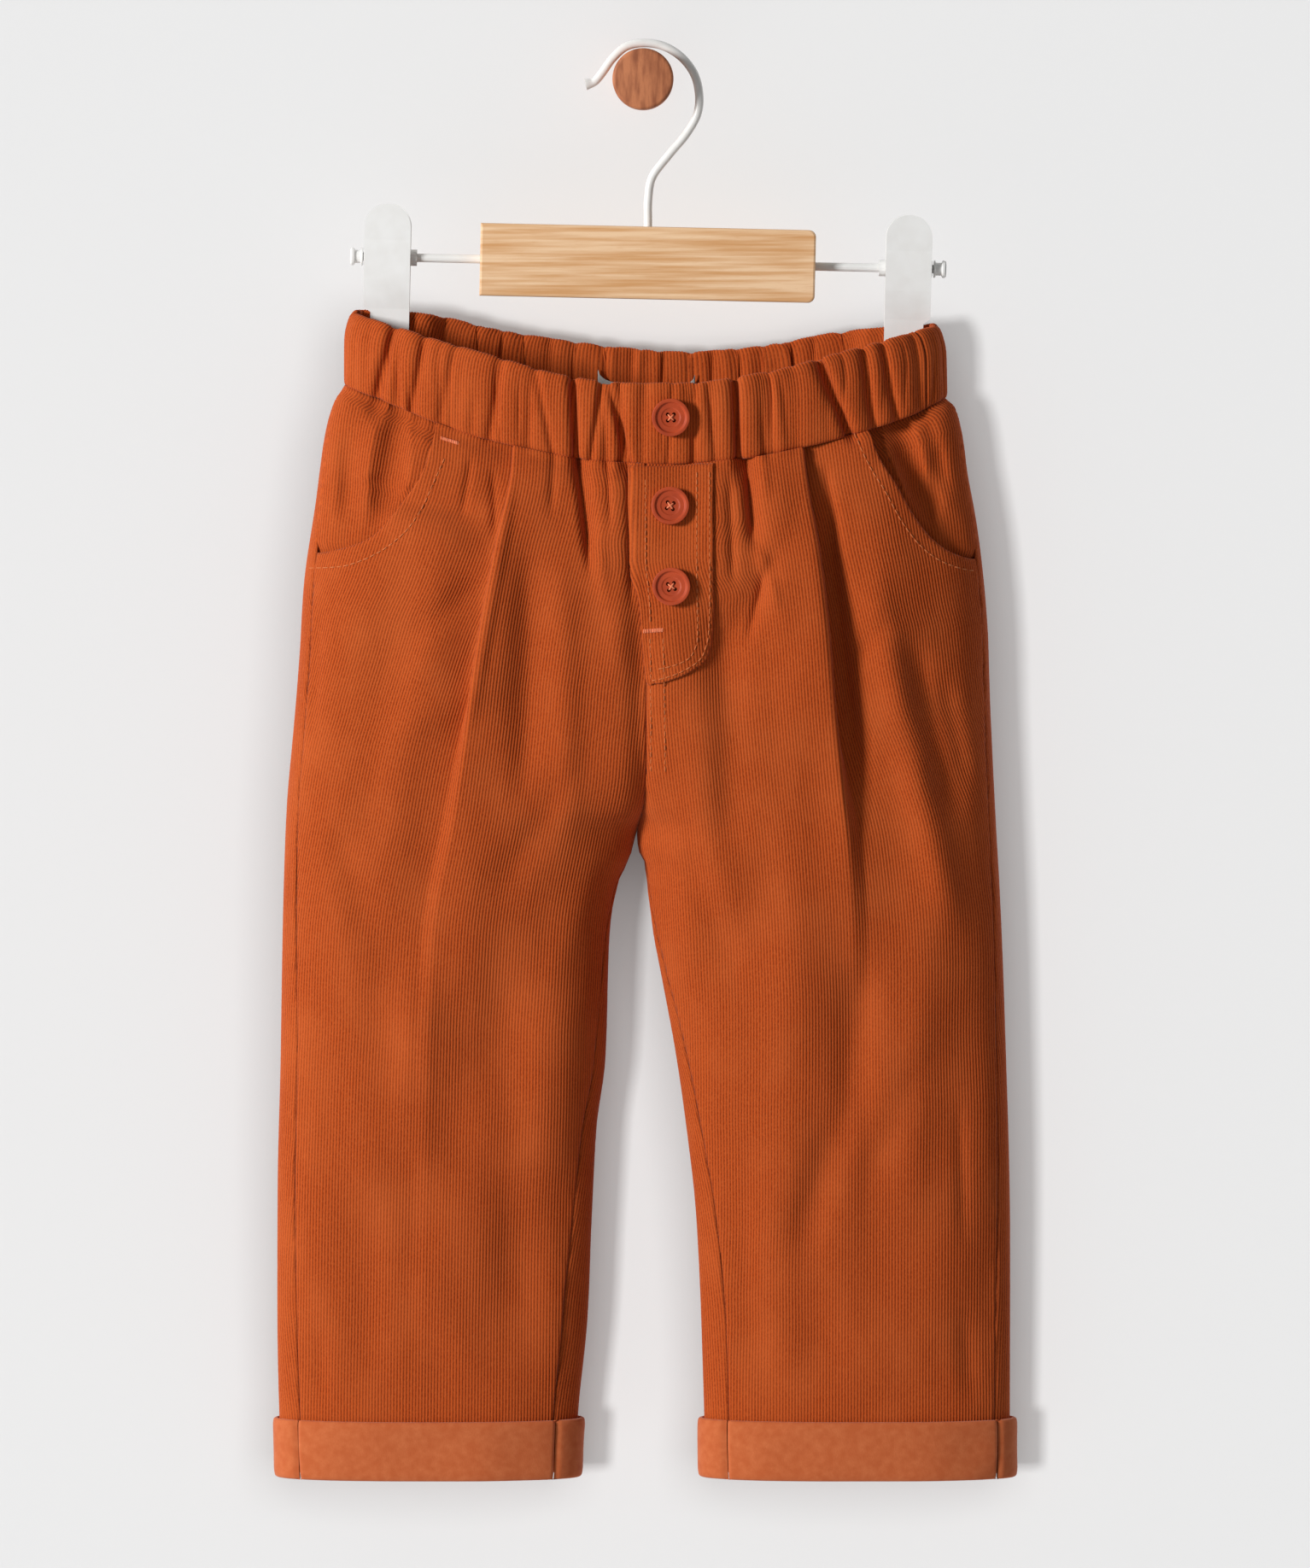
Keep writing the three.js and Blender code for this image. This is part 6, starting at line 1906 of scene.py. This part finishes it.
@dataclass
class ClipHanger:
    """The wooden bar, its rod, clips and caps, and the coated wire hook."""

    wire: float = 1.7
    route: Table = field(default_factory=lambda: table(
        "x z", (1.72, -66), (1.98, -58), (2.1, -48), (3.6, -39.5), (10.2, -30.5), (17.4, -21.8),
        (21.7, -14), (22.5, -6.8), (20.6, 1.7), (15.4, 8.7), (8, 13.2), (0.2, 14.4), (-6.6, 13),
        (-12.2, 8.2), (-16.4, 2.4), (-19.6, -1.2), (-23, -2.2)))
    flare: tuple[float, float] = (2.3, 3.4)
    bar_edge: float = 0.5
    clip_edge: float = 0.35

    def hook(self) -> bpy.types.Object:
        """Bends the hook along its route and flares its tip."""
        bpy.ops.curve.primitive_nurbs_path_add()
        wire = bpy.context.object
        wire.name = "hanger_hook_wire"
        curve = wire.data
        curve.splines.clear()
        spline = curve.splines.new("POLY")
        path = np.stack([self.route["x"], self.route["z"]], axis=1)
        length = np.concatenate([[0], np.cumsum(np.linalg.norm(np.diff(path, axis=0), axis=1) ** 0.5)])
        fine = np.linspace(0, length[-1], 240)
        across, up = (cubic(length, row, np.gradient(row, length), fine) for row in path.T)
        spline.points.add(len(fine) - 1)
        reach = np.concatenate([[0], np.cumsum(np.hypot(np.diff(across), np.diff(up)))])
        left = reach[-1] - reach
        for point, x, z, rest in zip(spline.points, across, up, left):
            point.co = (x * MM, HANGER_Y * MM, z * MM, 1)
            swell = float(ease(1 - rest / self.flare[1]))
            point.radius = 1 + (self.flare[0] / self.wire - 1) * swell
        curve.dimensions = "3D"
        curve.bevel_depth = self.wire * MM
        curve.bevel_resolution = 6
        curve.use_fill_caps = True
        select_only(wire)
        bpy.ops.object.convert(target="MESH")
        apply_modifier(wire, "BEVEL", width=0.5 * MM, segments=3, limit_method="ANGLE",
                       angle_limit=math.radians(50))
        bpy.ops.object.shade_smooth_by_angle(angle=math.radians(50))
        return wire

    def build(self) -> list[bpy.types.Object]:
        """Builds the hook and dresses the solids of the hanger."""
        hook = self.hook()
        declare(hook, WIRE, "hanger_hook")
        dress_solid(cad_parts["hanger_bar"], BAR_WOOD, self.bar_edge)
        for name in ("hanger_rod", "rod_cap_right", "rod_cap_left", "clip_hub_right", "clip_hub_left",
                     "clip_front_right", "clip_front_left", "clip_back_right", "clip_back_left"):
            dress_solid(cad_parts[name], WHITE, self.clip_edge)
        LOG.info("hanger dressed")
        return [hook]


def dress_solid(solid: bpy.types.Object, finish: Finish, bevel: float) -> None:
    """Gives a solid its finish and softens its edges.

    Args:
        solid: The solid.
        finish: Its finish.
        bevel: The width of the softened edge, in millimetres.
    """
    solid.data.materials.clear()
    solid.data.materials.append(finish.material())
    soft = solid.modifiers.new("Soft edges", "BEVEL")
    soft.width = bevel * MM
    soft.segments = 3
    soft.limit_method = "ANGLE"
    soft.angle_limit = math.radians(40)


@dataclass
class WallPeg:
    """The round wooden peg, its front edge rounded over."""

    radius: float = 12.2
    length: float = 49.0
    rounding: float = 1.4

    def build(self) -> bpy.types.Object:
        """Turns the peg and dresses it."""
        bpy.ops.mesh.primitive_cylinder_add(
            vertices=96, radius=self.radius * MM, depth=self.length * MM,
            location=(0, -self.length * MM / 2, 0), rotation=(math.pi / 2, 0, 0))
        peg = bpy.context.object
        peg.name = "wall_peg_turned"
        bpy.ops.object.transform_apply(location=True, rotation=True)
        select_faces(peg, (0, -1, 0))
        bpy.ops.mesh.bevel(offset=self.rounding * MM, segments=4)
        bpy.ops.object.mode_set(mode="OBJECT")
        bpy.ops.object.shade_smooth_by_angle(angle=math.radians(30))
        declare(peg, PEG_WOOD, "wall_peg")
        LOG.info("peg turned")
        return peg


class Reach(Enum):
    """What a light reaches."""

    ALL = "all"
    WALL_ONLY = "INCLUDE"
    ALL_BUT_WALL = "EXCLUDE"


@dataclass(frozen=True)
class Lamp:
    """One soft square light that faces the trousers, in metres and watts."""

    name: str
    place: tuple[float, float, float]
    size: float
    power: float
    reach: Reach = Reach.ALL


LAMPS = (
    Lamp("key", (-2.75, -2.2, 0.5), 0.8, 134, Reach.ALL_BUT_WALL),
    Lamp("wall_wash", (-2.2, -7.2, -0.4), 0.9, 440, Reach.WALL_ONLY),
    Lamp("wall_fill", (0.5, -5.0, 0.2), 3.4, 178, Reach.WALL_ONLY),
    Lamp("behind", (0.4, 1.8, 0.6), 1.6, 26),
)


@dataclass
class Studio:
    """The pale wall and floor, the lights and the camera."""

    daylight: float = 0.19
    middle: tuple[float, float, float] = (0.0, -0.04, -0.28)
    wall: str = "#B4B4B4"
    eye: tuple[float, float, float] = (0.0048, -4.0, -0.045)
    target: tuple[float, float, float] = (0.0048, -0.06, -0.281)
    lens: float = 227.0

    def backdrop(self) -> bpy.types.Material:
        """Gives the eye a pale matt wall from the front and nothing from behind."""
        shader = Shader("pale_wall")
        shader.finish(self.wall, Roughness=0.95, Specular_IOR_Level=0.1, Emission_Strength=0.1)
        shader.surface.inputs["Emission Color"].default_value = linear("#EBEBEB")
        clear = shader.add("BsdfTransparent")
        behind = shader.add("NewGeometry").outputs["Backfacing"]
        both = shader.add("MixShader", links={
            0: behind, 1: shader.surface.outputs["BSDF"], 2: clear.outputs["BSDF"]})
        output = shader.tree.nodes["Material Output"]
        shader.tree.links.new(both.outputs["Shader"], output.inputs["Surface"])
        return shader.material

    def planes(self) -> None:
        """Sets up the wall and the floor."""
        material = self.backdrop()
        for name, place, turn in (
            ("wall", (0, 0.0006, 0.2), (math.pi / 2, 0, 0)),
            ("floor", (0, -2.0, -1.6), (0, 0, 0)),
        ):
            bpy.ops.mesh.primitive_plane_add(size=8, location=place, rotation=turn)
            plane = bpy.context.object
            plane.name = f"stage_{name}"
            bpy.ops.object.transform_apply(location=True, rotation=True)
            plane.data.materials.append(material)
            plane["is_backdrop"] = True

    def keep_to(self, lamp: bpy.types.Object, reach: Reach) -> None:
        """Has a light reach only the wall, or everything but the wall.

        Args:
            lamp: The light.
            reach: Which of the two.
        """
        reached = bpy.data.collections.new(f"{lamp.name}_reaches")
        reached.objects.link(bpy.data.objects["stage_wall"])
        lamp.light_linking.receiver_collection = reached
        reached.collection_objects[0].light_linking.link_state = reach.value

    def pass_hanger(self, lamp: bpy.types.Object) -> None:
        """Has a light cast no shadow of the hanger or the peg."""
        passed = bpy.data.collections.new(f"{lamp.name}_passes")
        hanger = [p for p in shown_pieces() if p.name.startswith(("hanger", "rod", "clip", "wall_peg"))]
        for number, piece in enumerate(hanger):
            passed.objects.link(piece)
            passed.collection_objects[number].light_linking.link_state = "EXCLUDE"
        lamp.light_linking.blocker_collection = passed

    def light(self, lamp: Lamp) -> None:
        """Hangs one light and sets what it reaches."""
        bpy.ops.object.light_add(type="AREA", location=lamp.place)
        hung = bpy.context.object
        hung.name = lamp.name
        hung.data.energy = lamp.power
        hung.data.size = lamp.size
        away = Vector(lamp.place) - Vector(self.middle)
        hung.rotation_euler = away.to_track_quat("Z", "Y").to_euler()
        if lamp.reach is not Reach.ALL:
            self.keep_to(hung, lamp.reach)
        if lamp.reach is Reach.WALL_ONLY:
            self.pass_hanger(hung)

    def build(self) -> None:
        """Sets up everything round the trousers."""
        self.planes()
        for lamp in LAMPS:
            self.light(lamp)
        world = bpy.data.worlds.new("room")
        world.use_nodes = True
        sky = world.node_tree.nodes["Background"]
        sky.inputs["Color"].default_value = (1, 1, 1, 1)
        sky.inputs["Strength"].default_value = self.daylight
        bpy.context.scene.world = world
        bpy.context.scene.view_settings.view_transform = "Standard"
        camera = bpy.data.objects.new("camera", bpy.data.cameras.new("camera"))
        bpy.context.collection.objects.link(camera)
        camera.location = self.eye
        away = Vector(self.eye) - Vector(self.target)
        camera.rotation_euler = away.to_track_quat("Z", "Y").to_euler()
        camera.data.sensor_fit = "VERTICAL"
        camera.data.sensor_height = 36
        camera.data.lens = self.lens
        camera.data.clip_end = 20
        bpy.context.scene.camera = camera


def plain(bounds: object) -> object:
    """Turns vectors into plain lists."""
    if isinstance(bounds, dict):
        return {key: plain(value) for key, value in bounds.items()}
    if isinstance(bounds, (int, float, str)) or bounds is None:
        return bounds
    return [plain(value) for value in bounds]


def main() -> None:
    """Builds every sub-assembly in order."""
    logging.basicConfig(level=logging.INFO, format="%(name)s: %(message)s")
    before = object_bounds()
    fronts = Panels().build(CORD)
    bands = Waistband().build(CORD)
    facings = PocketFacings().build(CORD)
    fly = MockFly().build(CORD)
    Cuffs().build(SMOOTH)
    Label().build()
    stitching = Stitching()
    stitching.build(Surfaces(fronts + bands + facings + fly))
    Buttons().build(stitching)
    ClipHanger().build()
    WallPeg().build()
    Studio().build()
    {"solids": plain(before), "dressed": plain(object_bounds())}


if __name__ == "__main__":
    main()
